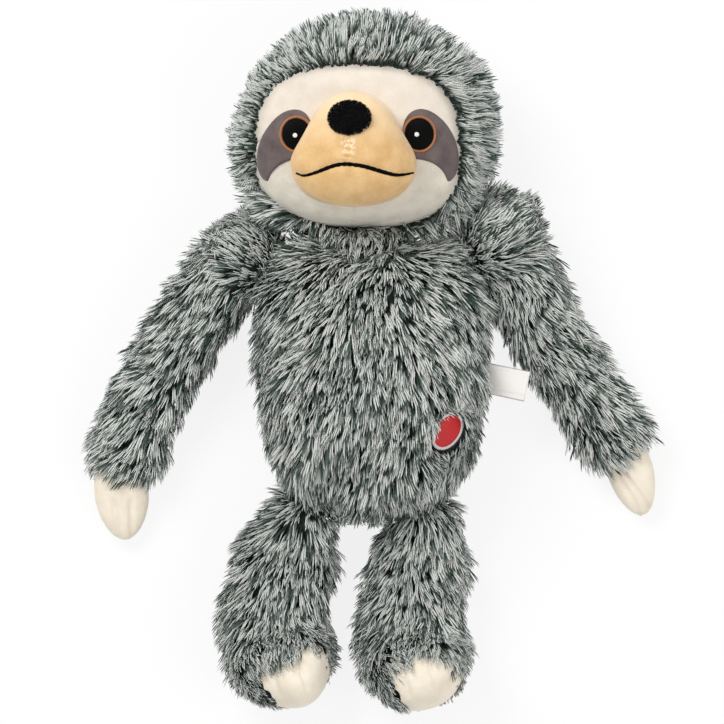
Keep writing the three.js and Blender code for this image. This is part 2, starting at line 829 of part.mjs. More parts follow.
function addArm(parent, side) {
  const arm = armLimb(side);
  const seam = pivotGroup(parent, `shoulder_${side}`, arm.pivot);
  const into = new THREE.Vector3(...ARM.seamDirectionShares);
  into.x *= outwardOf(side);
  into.normalize();
  addPiece(seam, `shoulder_seam_${side}`, seamDish(arm, into), "seam");
  const group = pivotGroup(seam, `arm_${side}`, arm.pivot);
  const hand = handForm(arm);
  const room = wristRoom(hand, ARM.cuffReach + HAND.length);
  addPiece(group, `arm_cover_${side}`, coverOf(arm).subtract(room), "fur");
  addPiece(group, `arm_stuffing_${side}`, fillingOf(arm).subtract(room), "filling");

  const handGroup = pivotGroup(group, `hand_${side}`, hand.pivot);
  const outside = solidOf(loft(hand.form)).subtract(table);
  const shell = outside.subtract(solidOf(loft(hand.form, SHORT_PILE)));
  const { lift } = frameAt(hand.form, 0);
  const [front, back] = halvesOf(shell, hand.pivot, lift);
  addPiece(handGroup, `hand_front_${side}`, front, "cream");
  addPiece(handGroup, `hand_back_${side}`, back, "cream");
  const inside = fillingForm(hand.form, SHORT_PILE);
  addPiece(handGroup, `hand_stuffing_${side}`, inside, "filling");
  return arm;
}

// Legs

function legLimb(side) {
  const { hipOut, splay, shinOut, turn } = LEG[side];
  const outward = outwardOf(side);
  const hip = new THREE.Vector3(
    outward * hipOut,
    torsoBottom - LEG.hipBelowTorso,
    LEG.hipHeight,
  );
  const direction = downward(side, splay);
  const footHeight = LEG.halfDepth * LEG.depthShares.at(-1) - FLOOR_SINK;
  const shinHeight = LEG.halfDepth * LEG.shinDepthShare - FLOOR_SINK;
  const shin = hip.clone().addScaledVector(direction, LEG.footReach * LEG.shinShare);
  shin.x += outward * shinOut;
  shin.z = shinHeight;
  const foot = hip.clone().addScaledVector(direction, LEG.footReach);
  foot.z = footHeight;
  const toe = foot.clone().addScaledVector(downward(side, turn), LEG.toeReach);
  toe.z = footHeight + LEG.toeRise;
  const form = softForm({
    spine: new THREE.CatmullRomCurve3([hip, shin, foot, toe]),
    halfWidth: LEG.halfWidth,
    halfDepth: LEG.halfDepth,
    widthShares: LEG.widthShares,
    depthShares: LEG.depthShares,
    start: { reach: LEG.rootReach, fullness: LEG.rootFullness },
    end: { reach: LEG.domeReach, fullness: LEG.domeFullness },
    facets: FACETS.limb,
  });
  return { form, pivot: hip, rootRadius: LEG.rootRadius, direction, side };
}

function addLeg(parent, side) {
  const leg = legLimb(side);
  const seam = pivotGroup(parent, `hip_${side}`, leg.pivot);
  addPiece(seam, `hip_seam_${side}`, seamDish(leg, Y), "seam");
  const group = pivotGroup(seam, `leg_${side}`, leg.pivot);
  const { place, tangent } = frameAt(leg.form, leg.form.length - LEG.toeCap);
  const turn = THREE.MathUtils.degToRad(LEG.toeCapTurn);
  const toward = tangent.clone().applyAxisAngle(Z, turn);
  const [toes, shank] = [toward, toward.clone().negate()].map((normal) => {
    return beyond(place, normal, CLEARANCE / 2);
  });
  addPiece(group, `leg_cover_${side}`, coverOf(leg).intersect(shank), "fur");
  const cap = layer(leg, PILE_DROP, FUR_CLOTH).intersect(toes);
  addPiece(group, `toe_cap_${side}`, cap, "cream");
  addPiece(group, `leg_stuffing_${side}`, fillingOf(leg), "filling");
  return leg;
}

// Torso

// Squeaker parts are turned about the upright line through the torso's middle
function turned(profile) {
  const points = profile.map(([radius, height]) => new THREE.Vector2(radius, height));
  const lathe = new THREE.LatheGeometry(points, FACETS.ball.around);
  lathe.rotateX(Math.PI / 2);
  lathe.translate(seamPoint.x, seamPoint.y, seamPoint.z);
  return solidOf(lathe);
}

// Points of a bulb's side from its bottom to its neck, at a depth inside it
function bulbSide(inset, neckRadius) {
  const radius = SQUEAKER.radius - inset;
  const height = SQUEAKER.halfHeight - inset;
  const end = Math.acos(neckRadius / radius);
  const steps = FACETS.arc;
  return Array.from({ length: steps + 1 }, (_, i) => {
    const angle = -Math.PI / 2 + ((end + Math.PI / 2) * i) / steps;
    return i === 0 ? [0, -height] : [radius * Math.cos(angle), height * Math.sin(angle)];
  });
}

function squeakerEnvelope(grow) {
  const neck = SQUEAKER.neckRadius + SQUEAKER.flange + grow;
  const top = SQUEAKER.halfHeight + SQUEAKER.neckHeight + SQUEAKER.reedWall + CLEARANCE + grow;
  return turned([...bulbSide(-grow, neck), [neck, top], [0, top]]);
}

function bulbSolid() {
  const { wall, neckRadius, halfHeight, neckHeight } = SQUEAKER;
  const top = halfHeight + neckHeight;
  const outside = [...bulbSide(0, neckRadius), [neckRadius, top]];
  const inner = neckRadius - wall;
  const inside = [...bulbSide(wall, inner), [inner, top]].reverse();
  return turned([...outside, ...inside]);
}

function reedSolid() {
  const { wall, neckRadius, reedWall, reedLength, flange, slot } = SQUEAKER;
  const plug = neckRadius - wall - CLEARANCE;
  const bore = plug - reedWall;
  const seat = SQUEAKER.halfHeight + SQUEAKER.neckHeight + CLEARANCE;
  const top = seat + reedWall;
  const rim = neckRadius + flange - CLEARANCE;
  const profile = [
    [bore, top],
    [bore, top - reedLength],
    [plug, top - reedLength],
    [plug, seat],
    [rim, seat],
    [rim, top],
    [bore, top],
  ];
  const gap = new THREE.BoxGeometry(slot, 2 * neckRadius, reedLength / 2);
  gap.translate(seamPoint.x, seamPoint.y, seamPoint.z + top - reedLength);
  return turned(profile).subtract(solidOf(gap));
}

// The label that flaps at the side seam: its hinge line stands just off the torso
function careLabel() {
  const { up, length, width, ply, slope } = CARE_LABEL;
  const corner = new THREE.Vector2(0, width / 2);
  corner.rotateAround(new THREE.Vector2(), THREE.MathUtils.degToRad(slope));
  const seats = [-1, 1].map((end) => {
    return loftedWidth(torsoForm, up + end * corner.y - torsoBottom) - end * corner.x;
  });
  const hinge = new THREE.Vector3(Math.max(...seats) + CLEARANCE, up, seamHeight);
  const label = new THREE.BoxGeometry(length, width, ply);
  label.translate(length / 2, 0, 0);
  label.rotateZ(THREE.MathUtils.degToRad(slope));
  label.translate(hinge.x, hinge.y, hinge.z);
  return { hinge, solid: solidOf(label) };
}

function bellyLabel() {
  const across = TORSO.halfWidth * BELLY_LABEL.acrossShare;
  const place = new THREE.Vector2(across, TORSO.length * BELLY_LABEL.upShare);
  const shape = oval(place, BELLY_LABEL.halfWidth, BELLY_LABEL.halfLength, BELLY_LABEL.tilt);
  return solidOf(loft(torsoForm, -CLEARANCE - STITCH_HEIGHT))
    .subtract(solidOf(loft(torsoForm, -CLEARANCE)))
    .intersect(prism(shape, seamHeight, seamHeight + TORSO.halfDepth + OVERRUN));
}

// What the head, arms and legs need of the torso: hollows for their roots, and room to turn
function roomsInTorso(head, arms, legs) {
  const rooms = [head, ...arms, ...legs].map(socketOf);
  rooms.push(
    sweptSpace(
      head,
      { axis: X, range: NECK.nod, steps: FACETS.swing },
      { axis: Y, range: NECK.turn, steps: FACETS.swing },
    ),
  );
  const limbs = [
    ...arms.map((limb) => ({ limb, ranges: ARM })),
    ...legs.map((limb) => ({ limb, ranges: LEG })),
  ];
  for (const { limb, ranges } of limbs) {
    const swingAxis = Z.clone().multiplyScalar(outwardOf(limb.side));
    const raiseAxis = new THREE.Vector3().crossVectors(limb.direction, Z);
    rooms.push(
      sweptSpace(
        limb,
        { axis: swingAxis, range: ranges.swing, steps: FACETS.swing },
        { axis: raiseAxis, range: ranges.raise, steps: FACETS.raise },
      ),
    );
  }
  return joined(rooms);
}

function addTorso(group, rooms) {
  const outside = solidOf(loft(torsoForm)).subtract(table);
  const cover = outside.subtract(solidOf(loft(torsoForm, FUR_CLOTH))).subtract(rooms);
  const [front, back] = halvesOf(cover, seamPoint, Z);
  addPiece(group, "torso_front_panel", front, "fur");
  addPiece(group, "torso_back_panel", back, "fur");
  const filling = fillingForm(torsoForm, FUR_CLOTH)
    .subtract(rooms)
    .subtract(squeakerEnvelope(CLEARANCE));
  const [frontFilling, backFilling] = halvesOf(filling, seamPoint, Z);
  addPiece(group, "torso_stuffing_front", frontFilling, "filling");
  addPiece(group, "torso_stuffing_back", backFilling, "filling");
  addPiece(group, "squeaker_bulb", bulbSolid(), "bulb");
  addPiece(group, "squeaker_reed", reedSolid(), "white");
  addPiece(group, "belly_label", bellyLabel(), "red");
  const label = careLabel();
  const labelGroup = pivotGroup(group, "label", label.hinge);
  addPiece(labelGroup, "care_label", label.solid, "white");
}

const toy = new THREE.Group();
toy.name = "plush_sloth";
toy.userData.pivot = new THREE.Vector3();
const torso = pivotGroup(toy, "torso", toy.userData.pivot);
const head = addHead(torso);
const arms = SIDES.map((side) => addArm(torso, side));
const legs = SIDES.map((side) => addLeg(torso, side));
addTorso(torso, roomsInTorso(head, arms, legs));

export default toy;
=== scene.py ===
"""Looks of a plush sloth: frosted long fur, short-pile face, muzzle, hands and toes.

Sizes are in millimetres in the classes and become metres in one place, where a mesh is made.
The toy lies on its back: +Z is up from the table, +Y runs to the head and +X to its own left.
"""

import logging
import math
from collections.abc import Callable
from dataclasses import dataclass, field
from enum import Enum
from functools import partial

import bmesh
import bpy
import numpy as np
from bpy.types import Collection, Material, Node, NodeSocket, NodeTree, Object
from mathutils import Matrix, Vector
from mathutils.bvhtree import BVHTree


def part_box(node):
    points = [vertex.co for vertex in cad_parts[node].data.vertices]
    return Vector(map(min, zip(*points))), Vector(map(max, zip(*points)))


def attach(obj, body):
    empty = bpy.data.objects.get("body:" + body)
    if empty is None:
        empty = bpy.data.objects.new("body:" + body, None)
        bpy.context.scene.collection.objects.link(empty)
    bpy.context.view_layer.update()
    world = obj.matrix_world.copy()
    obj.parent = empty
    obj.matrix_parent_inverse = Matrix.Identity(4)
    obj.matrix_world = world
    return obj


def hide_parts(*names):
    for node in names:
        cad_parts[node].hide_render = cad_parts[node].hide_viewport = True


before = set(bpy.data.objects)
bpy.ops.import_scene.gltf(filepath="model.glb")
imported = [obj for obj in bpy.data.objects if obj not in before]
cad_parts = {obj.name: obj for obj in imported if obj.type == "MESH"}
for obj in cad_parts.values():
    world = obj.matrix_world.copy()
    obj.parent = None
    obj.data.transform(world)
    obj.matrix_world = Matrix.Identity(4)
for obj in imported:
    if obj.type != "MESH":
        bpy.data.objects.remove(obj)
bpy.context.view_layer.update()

LOG = logging.getLogger("plush")
Array = np.ndarray
Pair = tuple[float, float]
Place = tuple[float, float, float]
Adder = Callable[..., Node]
MM = 0.001
SEED = 7
UV = "OFBake"
MARKS = ("planted", "grow", "strand", "around", "along")


class Side(Enum):
    """The toy's own sides."""

    LEFT = "left"
    RIGHT = "right"

    @property
    def sign(self) -> int:
        """Direction of the side along X."""
        return 1 if self is Side.LEFT else -1


# Nodes and finishes


def linear(colour: str) -> tuple[float, float, float, float]:
    """Turns an sRGB hex colour to linear light.

    Args:
        colour: Colour such as "#efe6d6".

    Returns:
        Red, green, blue and an alpha of 1.
    """
    shares = [int(colour[i : i + 2], 16) / 255 for i in (1, 3, 5)]
    light = [s / 12.92 if s <= 0.04045 else ((s + 0.055) / 1.055) ** 2.4 for s in shares]
    return (light[0], light[1], light[2], 1.0)


def socket_of(sockets: bpy.types.bpy_prop_collection, key: str | int) -> NodeSocket:
    """Finds a node's socket by its place or by the name of one that is in use."""
    if isinstance(key, int):
        return sockets[key]
    return next(s for s in sockets if s.name == key and s.enabled)


def add_node(
    tree: NodeTree,
    kind: str,
    inputs: dict[str | int, object] | None = None,
    stops: tuple[tuple[float, str], ...] = (),
    **settings: object,
) -> Node:
    """Adds a node with its settings, values and links.

    Args:
        tree: Tree that gets the node.
        kind: The node's type.
        inputs: What each input gets, by its name or place: a value, a node whose first
            output feeds it, or a pair of a node and the name of the output that feeds it.
        stops: Position and hex colour of each stop, where the node is a colour ramp.
        settings: The node's own properties.

    Returns:
        The new node.
    """
    node = tree.nodes.new(kind)
    for name, value in settings.items():
        setattr(node, name, value)
    for key, value in (inputs or {}).items():
        target = socket_of(node.inputs, key)
        if isinstance(value, Node):
            tree.links.new(next(s for s in value.outputs if s.enabled), target)
        elif isinstance(value, tuple) and isinstance(value[0], Node):
            tree.links.new(socket_of(value[0].outputs, value[1]), target)
        else:
            target.default_value = value
    if stops:
        elements = node.color_ramp.elements
        while len(elements) < len(stops):
            elements.new(0.5)
        for element, (position, colour) in zip(elements, stops):
            element.position = position
            element.color = linear(colour)
    return node


@dataclass(frozen=True)
class Finish:
    """A finish, whose material is named for the real one."""

    name: str

    def build(self) -> Material:
        """Makes the material round the surface that the finish describes."""
        material = bpy.data.materials.new(self.name)
        material.use_nodes = True
        tree = material.node_tree
        tree.nodes.clear()
        add = partial(add_node, tree)
        shader = add("ShaderNodeBsdfPrincipled", self.surface(add))
        add("ShaderNodeOutputMaterial", {"Surface": shader})
        return material

    def surface(self, add: Adder) -> dict[str, object]:
        """Adds the nodes that feed the shader and gives the shader's inputs."""
        raise NotImplementedError


@dataclass(frozen=True)
class FrostedPile(Finish):
    """Long polyester pile, dyed dark at the root and left pale at the tip.

    The eye sees pale streaks of strands over dark gaps, with hardly any gloss.
    """

    root: str
    body: str
    middle: str
    tip: str
    dark_tip: str
    gloss: float
    roughness: float = 0.62

    def surface(self, add: Adder) -> dict[str, object]:
        """Shades each strand along its length, and by its own place across the map."""
        place = add("ShaderNodeUVMap", uv_map=UV)
        apart = add("ShaderNodeSeparateXYZ", {"Vector": place})
        pale, dark = (
            add("ShaderNodeValToRGB", {"Fac": (apart, "Y")}, stops)
            for stops in (
                ((0.0, self.root), (0.32, self.body), (0.44, self.middle), (0.58, self.tip)),
                ((0.0, self.root), (0.55, self.body), (0.9, self.dark_tip)),
            )
        )
        # Strands differ at random: about one in three, mostly a lock's middle one, stays dark; the
        # dark middle strand stands partly for the coat's dark strands and partly for painted shade
        # in the gap between pale strands
        share = add(
            "ShaderNodeMapRange",
            {"Value": (apart, "X"), "From Min": 0.26, "From Max": 0.38},
        )
        mix = {"Factor": share, "A": dark, "B": pale}
        return {
            "Base Color": add("ShaderNodeMix", mix, data_type="RGBA"),
            "Roughness": self.roughness,
            "Specular IOR Level": self.gloss,
            "Sheen Weight": self.gloss / 3,
        }


@dataclass(frozen=True)
class PaintedSheen:
    """A painted sheen: the nap pales toward the head's top, standing in for the brighter light that
    the brushed nap reflects there.
    """

    start: float
    end: float
    pale: str

    def share(self, add: Adder, place: tuple[Node, str]) -> Node:
        """Gives how far the painted sheen has paled the nap at each place."""
        apart = add("ShaderNodeSeparateXYZ", {"Vector": place})
        span = {"Value": (apart, "Y"), "From Min": self.start * MM, "From Max": self.end * MM}
        return add("ShaderNodeMapRange", span)


@dataclass(frozen=True)
class PaleStreaks:
    """A nap paled in noisy streaks round a spot, where a seam gathers the cloth in ridges."""

    x: float
    y: float
    radius: float
    pale: str
    ridge: float = 1.9
    stretch: float = 0.62

    def share(self, add: Adder, place: tuple[Node, str]) -> Node:
        """Gives how far the nap is paled at each place, streak by streak."""
        apart = add("ShaderNodeSeparateXYZ", {"Vector": place})
        flat = add("ShaderNodeCombineXYZ", {"X": (apart, "X"), "Y": (apart, "Y")})
        away = add(
            "ShaderNodeVectorMath",
            {0: flat, 1: (self.x * MM, self.y * MM, 0.0)},
            operation="SUBTRACT",
        )
        squeeze = {0: away, 1: (1.0, self.stretch, 1.0)}
        shaped = add("ShaderNodeVectorMath", squeeze, operation="MULTIPLY")
        far = add("ShaderNodeVectorMath", {0: shaped}, operation="LENGTH")
        span = {"From Min": self.radius * MM, "From Max": 0.25 * self.radius * MM}
        near = add("ShaderNodeMapRange", {"Value": (far, "Value")} | span)
        noise = {"Vector": flat, "Scale": 1 / (self.ridge * MM), "Detail": 2.0, "Distortion": 1.5}
        ridges = add("ShaderNodeTexNoise", noise)
        span = {"Value": (ridges, "Fac"), "From Min": 0.44, "From Max": 0.6}
        paling = add("ShaderNodeMapRange", span)
        return add("ShaderNodeMath", {0: near, 1: paling}, operation="MULTIPLY")


@dataclass(frozen=True)
class ShortPile(Finish):
    """Brushed short-pile polyester: a soft nap, a little lighter where it is brushed over.

    The eye sees matt, softly clouded cloth whose edges glow a little with stray fibres.
    """

    colour: str
    shade: str
    grain: float = 0.55
    bump: float = 0.25
    sheen: float = 0.35
    cloud: float = 9.0
    pale_overlays: tuple[PaintedSheen | PaleStreaks, ...] = ()

    def surface(self, add: Adder) -> dict[str, object]:
        """Clouds the colour and roughens the nap, its grain at its real size."""
        place = (add("ShaderNodeTexCoord"), "Object")
        noise = {"Vector": place, "Scale": 1 / (self.cloud * MM), "Detail": 3.0}
        broad = add("ShaderNodeTexNoise", noise)
        noise = {"Vector": place, "Scale": 1 / (self.grain * MM), "Detail": 4.0, "Roughness": 0.7}
        fine = add("ShaderNodeTexNoise", noise)
        both = add("ShaderNodeMix", {"Factor": 0.45, "A": (broad, "Fac"), "B": (fine, "Fac")})
        stops = ((0.36, self.shade), (0.6, self.colour))
        colour = add("ShaderNodeValToRGB", {"Fac": both}, stops)
        # Each overlay pales the colour: a painted sheen, or pale streaks
        for paling in self.pale_overlays:
            mix = {"Factor": paling.share(add, place), "A": colour, "B": linear(paling.pale)}
            colour = add("ShaderNodeMix", mix, data_type="RGBA")
        nap = {"Height": (fine, "Fac"), "Strength": self.bump, "Distance": 0.5 * MM}
        return {
            "Base Color": colour,
            "Normal": add("ShaderNodeBump", nap),
            "Roughness": 0.9,
            "Specular IOR Level": 0.2,
            "Sheen Weight": self.sheen,
            "Sheen Roughness": 0.4,
        }


@dataclass(frozen=True)
class SatinStitch(Finish):
    """Close embroidery in rayon thread: fine ridges with a silky gloss."""

    colour: str
    shade: str
    thread: float = 0.45
    sheen: float = 0.25
    gloss: float = 0.35

    def surface(self, add: Adder) -> dict[str, object]:
        """Raises ridges one thread apart, with painted shade in the dips between the threads."""
        place = add("ShaderNodeTexCoord")
        apart = add("ShaderNodeSeparateXYZ", {"Vector": (place, "Object")})
        turns = {0: (apart, "X"), 1: 2 * math.pi / (self.thread * MM)}
        scaled = add("ShaderNodeMath", turns, operation="MULTIPLY")
        wave = add("ShaderNodeMath", {0: scaled}, operation="SINE")
        raised = add("ShaderNodeMapRange", {"Value": wave, "From Min": -1.0})
        # The dips between threads take the shade colour: painted shade
        stops = ((0.1, self.shade), (0.7, self.colour))
        ridge = {"Height": raised, "Strength": 0.5, "Distance": 0.2 * MM}
        return {
            "Base Color": add("ShaderNodeValToRGB", {"Fac": raised}, stops),
            "Normal": add("ShaderNodeBump", ridge),
            "Roughness": 0.42,
            "Specular IOR Level": self.gloss,
            "Sheen Weight": self.sheen,
        }


@dataclass(frozen=True)
class Woven(Finish):
    """Woven polyester: a fine over-and-under weave that shines a little."""

    colour: str
    shade: str
    pitch: float
    roughness: float

    def surface(self, add: Adder) -> dict[str, object]:
        """Crosses yarns one pitch apart, drawn coarse enough to show, with painted shade where the
        weave dips.
        """
        place = (add("ShaderNodeTexCoord"), "Object")
        turns = (2 * math.pi / (self.pitch * MM),) * 3
        scaled = add("ShaderNodeVectorMath", {0: place, 1: turns}, operation="MULTIPLY")
        apart = add("ShaderNodeSeparateXYZ", {"Vector": scaled})
        yarns = {
            k: add("ShaderNodeMath", {0: (apart, axis)}, operation="SINE")
            for k, axis in enumerate("XY")
        }
        weave = add("ShaderNodeMath", yarns, operation="MULTIPLY")
        raised = add("ShaderNodeMapRange", {"Value": weave, "From Min": -1.0})
        # Where the weave dips it takes the shade colour: painted shade
        stops = ((0.0, self.shade), (0.8, self.colour))
        yarn = {"Height": raised, "Strength": 0.35, "Distance": 0.15 * MM}
        return {
            "Base Color": add("ShaderNodeValToRGB", {"Fac": raised}, stops),
            "Normal": add("ShaderNodeBump", yarn),
            "Roughness": self.roughness,
        }


@dataclass(frozen=True)
class BlownPlastic(Finish):
    """Blown polyethylene: smooth, waxy and a little cloudy."""

    colour: str
    ripple: float = 4.0

    def surface(self, add: Adder) -> dict[str, object]:
        """Adds the faint waviness that blowing leaves."""
        place = (add("ShaderNodeTexCoord"), "Object")
        noise = {"Vector": place, "Scale": 1 / (self.ripple * MM)}
        waves = add("ShaderNodeTexNoise", noise)
        wavy = {"Height": (waves, "Fac"), "Strength": 0.1, "Distance": 0.2 * MM}
        return {
            "Base Color": linear(self.colour),
            "Normal": add("ShaderNodeBump", wavy),
            "Roughness": 0.4,
            "IOR": 1.51,
        }


class Finishes:
    """Every finish of the toy, built once."""

    def __init__(self) -> None:
        """Builds the materials, each from its real one's colours."""
        self.pile = FrostedPile(
            "frosted_polyester_pile", "#070d0b", "#1d352d", "#97a09b", "#d9dcd7", "#4c5f57", 0.3
        ).build()
        self.backing = Woven("knitted_backing", "#2c3a35", "#16211d", 1.2, 0.95).build()
        self.cream = ShortPile("cream_velboa", "#f4ead8", "#e8dcc8").build()
        self.face = ShortPile("face_velboa", "#e4dacd", "#d8cdbe").build()
        self.cheek = ShortPile("cheek_velboa", "#e9e2d3", "#d3cabb").build()
        self.grey = ShortPile("grey_velboa", "#706463", "#544948").build()
        # The tan nap: a painted sheen toward the head's top, and pale streaks round the puckered
        # seam below the nose
        pale_overlays = (PaintedSheen(103.0, 129.0, "#f8dcb4"), PaleStreaks(-11.2, 103.6, 4.6, "#f8e8c8"))
        self.tan = ShortPile("tan_velboa", "#e4bf8a", "#cea46d", pale_overlays=pale_overlays).build()
        self.black = SatinStitch(
            "black_rayon_thread", "#070707", "#020202", sheen=0.0, gloss=0.06
        ).build()
        self.nose = ShortPile("black_plush", "#0a0a0b", "#040405", 0.5, 0.6, 0.1).build()
        self.nose_pile = FrostedPile(
            "black_plush_fuzz", "#010101", "#040404", "#0a0a0a", "#1b1b1d", "#0b0b0b", 0.05
        ).build()
        self.orange = SatinStitch("orange_rayon_thread", "#c4783a", "#8a4c1e").build()
        self.white = SatinStitch("white_rayon_thread", "#f6f6f4", "#d8d8d4").build()
        self.red = Woven("red_woven_badge", "#ca0c14", "#ab070e", 0.6, 0.45).build()
        self.rim = Woven("badge_overlock", "#d9cfd0", "#b3a6a8", 0.7, 0.5).build()
        self.satin = Woven("white_label_satin", "#f2eeea", "#e0dbd6", 0.5, 0.35).build()
        self.plastic = BlownPlastic("blown_polyethylene", "#e8e4d8").build()


# Meshes


def mesh_object(name: str, points: Array, faces: list[tuple[int, ...]]) -> Object:
    """Makes an object from points in millimetres.

    Args:
        name: Name of the piece.
        points: One row for each point.
        faces: Corners of each face, turning outwards.

    Returns:
        The object, at the origin.
    """
    mesh = bpy.data.meshes.new(name)
    mesh.from_pydata((np.asarray(points, float) * MM).tolist(), [], faces)
    made = bpy.data.objects.new(name, mesh)
    smooth(made)
    bpy.context.scene.collection.objects.link(made)
    return made


def smooth(piece: Object) -> None:
    """Shades a mesh's faces smoothly."""
    piece.data.polygons.foreach_set("use_smooth", [True] * len(piece.data.polygons))


def points_of(piece: Object) -> Array:
    """Gives a mesh's points in millimetres."""
    flat = np.zeros(len(piece.data.vertices) * 3, np.float32)
    piece.data.vertices.foreach_get("co", flat)
    return flat.reshape(-1, 3).astype(float) / MM


def normals_of(piece: Object) -> Array:
    """Gives a mesh's point normals."""
    flat = np.zeros(len(piece.data.vertices) * 3, np.float32)
    piece.data.vertex_normals.foreach_get("vector", flat)
    return flat.reshape(-1, 3).astype(float)


def move_points(piece: Object, points: Array) -> None:
    """Puts a mesh's points at new places, in millimetres."""
    piece.data.vertices.foreach_set("co", (points * MM).astype(np.float32).ravel())
    piece.data.update()


def apply_modifiers(piece: Object) -> None:
    """Turns a piece and its modifiers into a plain mesh."""
    graph = bpy.context.evaluated_depsgraph_get()
    graph.update()
    mesh = bpy.data.meshes.new_from_object(piece.evaluated_get(graph))
    piece.modifiers.clear()
    piece.data = mesh
    piece.data.name = piece.name


def joined(name: str, pieces: list[Object]) -> Object:
    """Joins meshes into the first and names it."""
    with bpy.context.temp_override(
        active_object=pieces[0], object=pieces[0], selected_editable_objects=pieces
    ):
        bpy.ops.object.join()
    pieces[0].name = name
    return pieces[0]


def unit(vectors: Array) -> Array:
    """Scales vectors to a length of 1."""
    lengths = np.linalg.norm(vectors, axis=-1, keepdims=True)
    return vectors / np.maximum(lengths, 1e-9)


def smooth_step(values: Array, low: float, high: float) -> Array:
    """Rises smoothly from 0 at low to 1 at high."""
    share = np.clip((values - low) / (high - low), 0, 1)
    return share * share * (3 - 2 * share)


def hump(values: Array, width: float) -> Array:
    """Gives a smooth hump: 1 at a value of 0, falling away over a width."""
    return np.exp(-((values / width) ** 2))


def drift(points: Array, size: float, seed: int) -> Array:
    """Gives smooth random vectors that change over a distance.

    Args:
        points: Places in millimetres.
        size: Distance over which the vectors change.
        seed: Number that fixes them.

    Returns:
        One vector for each place, each part about -1 to 1.
    """
    rng = np.random.default_rng(seed)
    out = np.zeros_like(points)
    for _ in range(7):
        wave = unit(rng.normal(size=3)) * rng.uniform(0.6, 1.6) * 2 * math.pi / size
        phase = rng.uniform(0, 2 * math.pi, 3)
        out += np.sin((points @ wave)[:, None] + phase) * 0.45
    return out


def grid_faces(rows: int, columns: int, closed: bool = True) -> list[tuple[int, ...]]:
    """Gives the quads of a grid whose rows are rings or open strips."""
    last = columns if closed else columns - 1
    return [
        (
            i * columns + j,
            i * columns + (j + 1) % columns,
            (i + 1) * columns + (j + 1) % columns,
            (i + 1) * columns + j,
        )
        for i in range(rows - 1)
        for j in range(last)
    ]


# Soft forms


def roundness(distance: Array, reach: float, fullness: float) -> Array:
    """Share of the full size that a rounded end has at a distance from its tip."""
    left = np.maximum(1 - distance / reach, 0)
    return np.sqrt(np.maximum(1 - left**fullness, 0))


def bezier(start: Array, bend: Array, end: Array) -> Array:
    """Samples a quadratic curve."""
    t = np.linspace(0, 1, 80)[:, None]
    return (1 - t) ** 2 * start + 2 * t * (1 - t) * bend + t**2 * end


def through(stops: Array) -> Array:
    """Samples a smooth curve through its stops."""
    ends = np.vstack([2 * stops[0] - stops[1], stops, 2 * stops[-1] - stops[-2]])
    path = []
    for a, b, c, d in zip(ends, ends[1:], ends[2:], ends[3:]):
        t = np.linspace(0, 1, 28, endpoint=False)[:, None]
        square, cube = 2 * a - 5 * b + 4 * c - d, 3 * b - a - 3 * c + d
        path.append(0.5 * (2 * b + (c - a) * t + square * t**2 + cube * t**3))
    return np.vstack([*path, stops[-1:]])


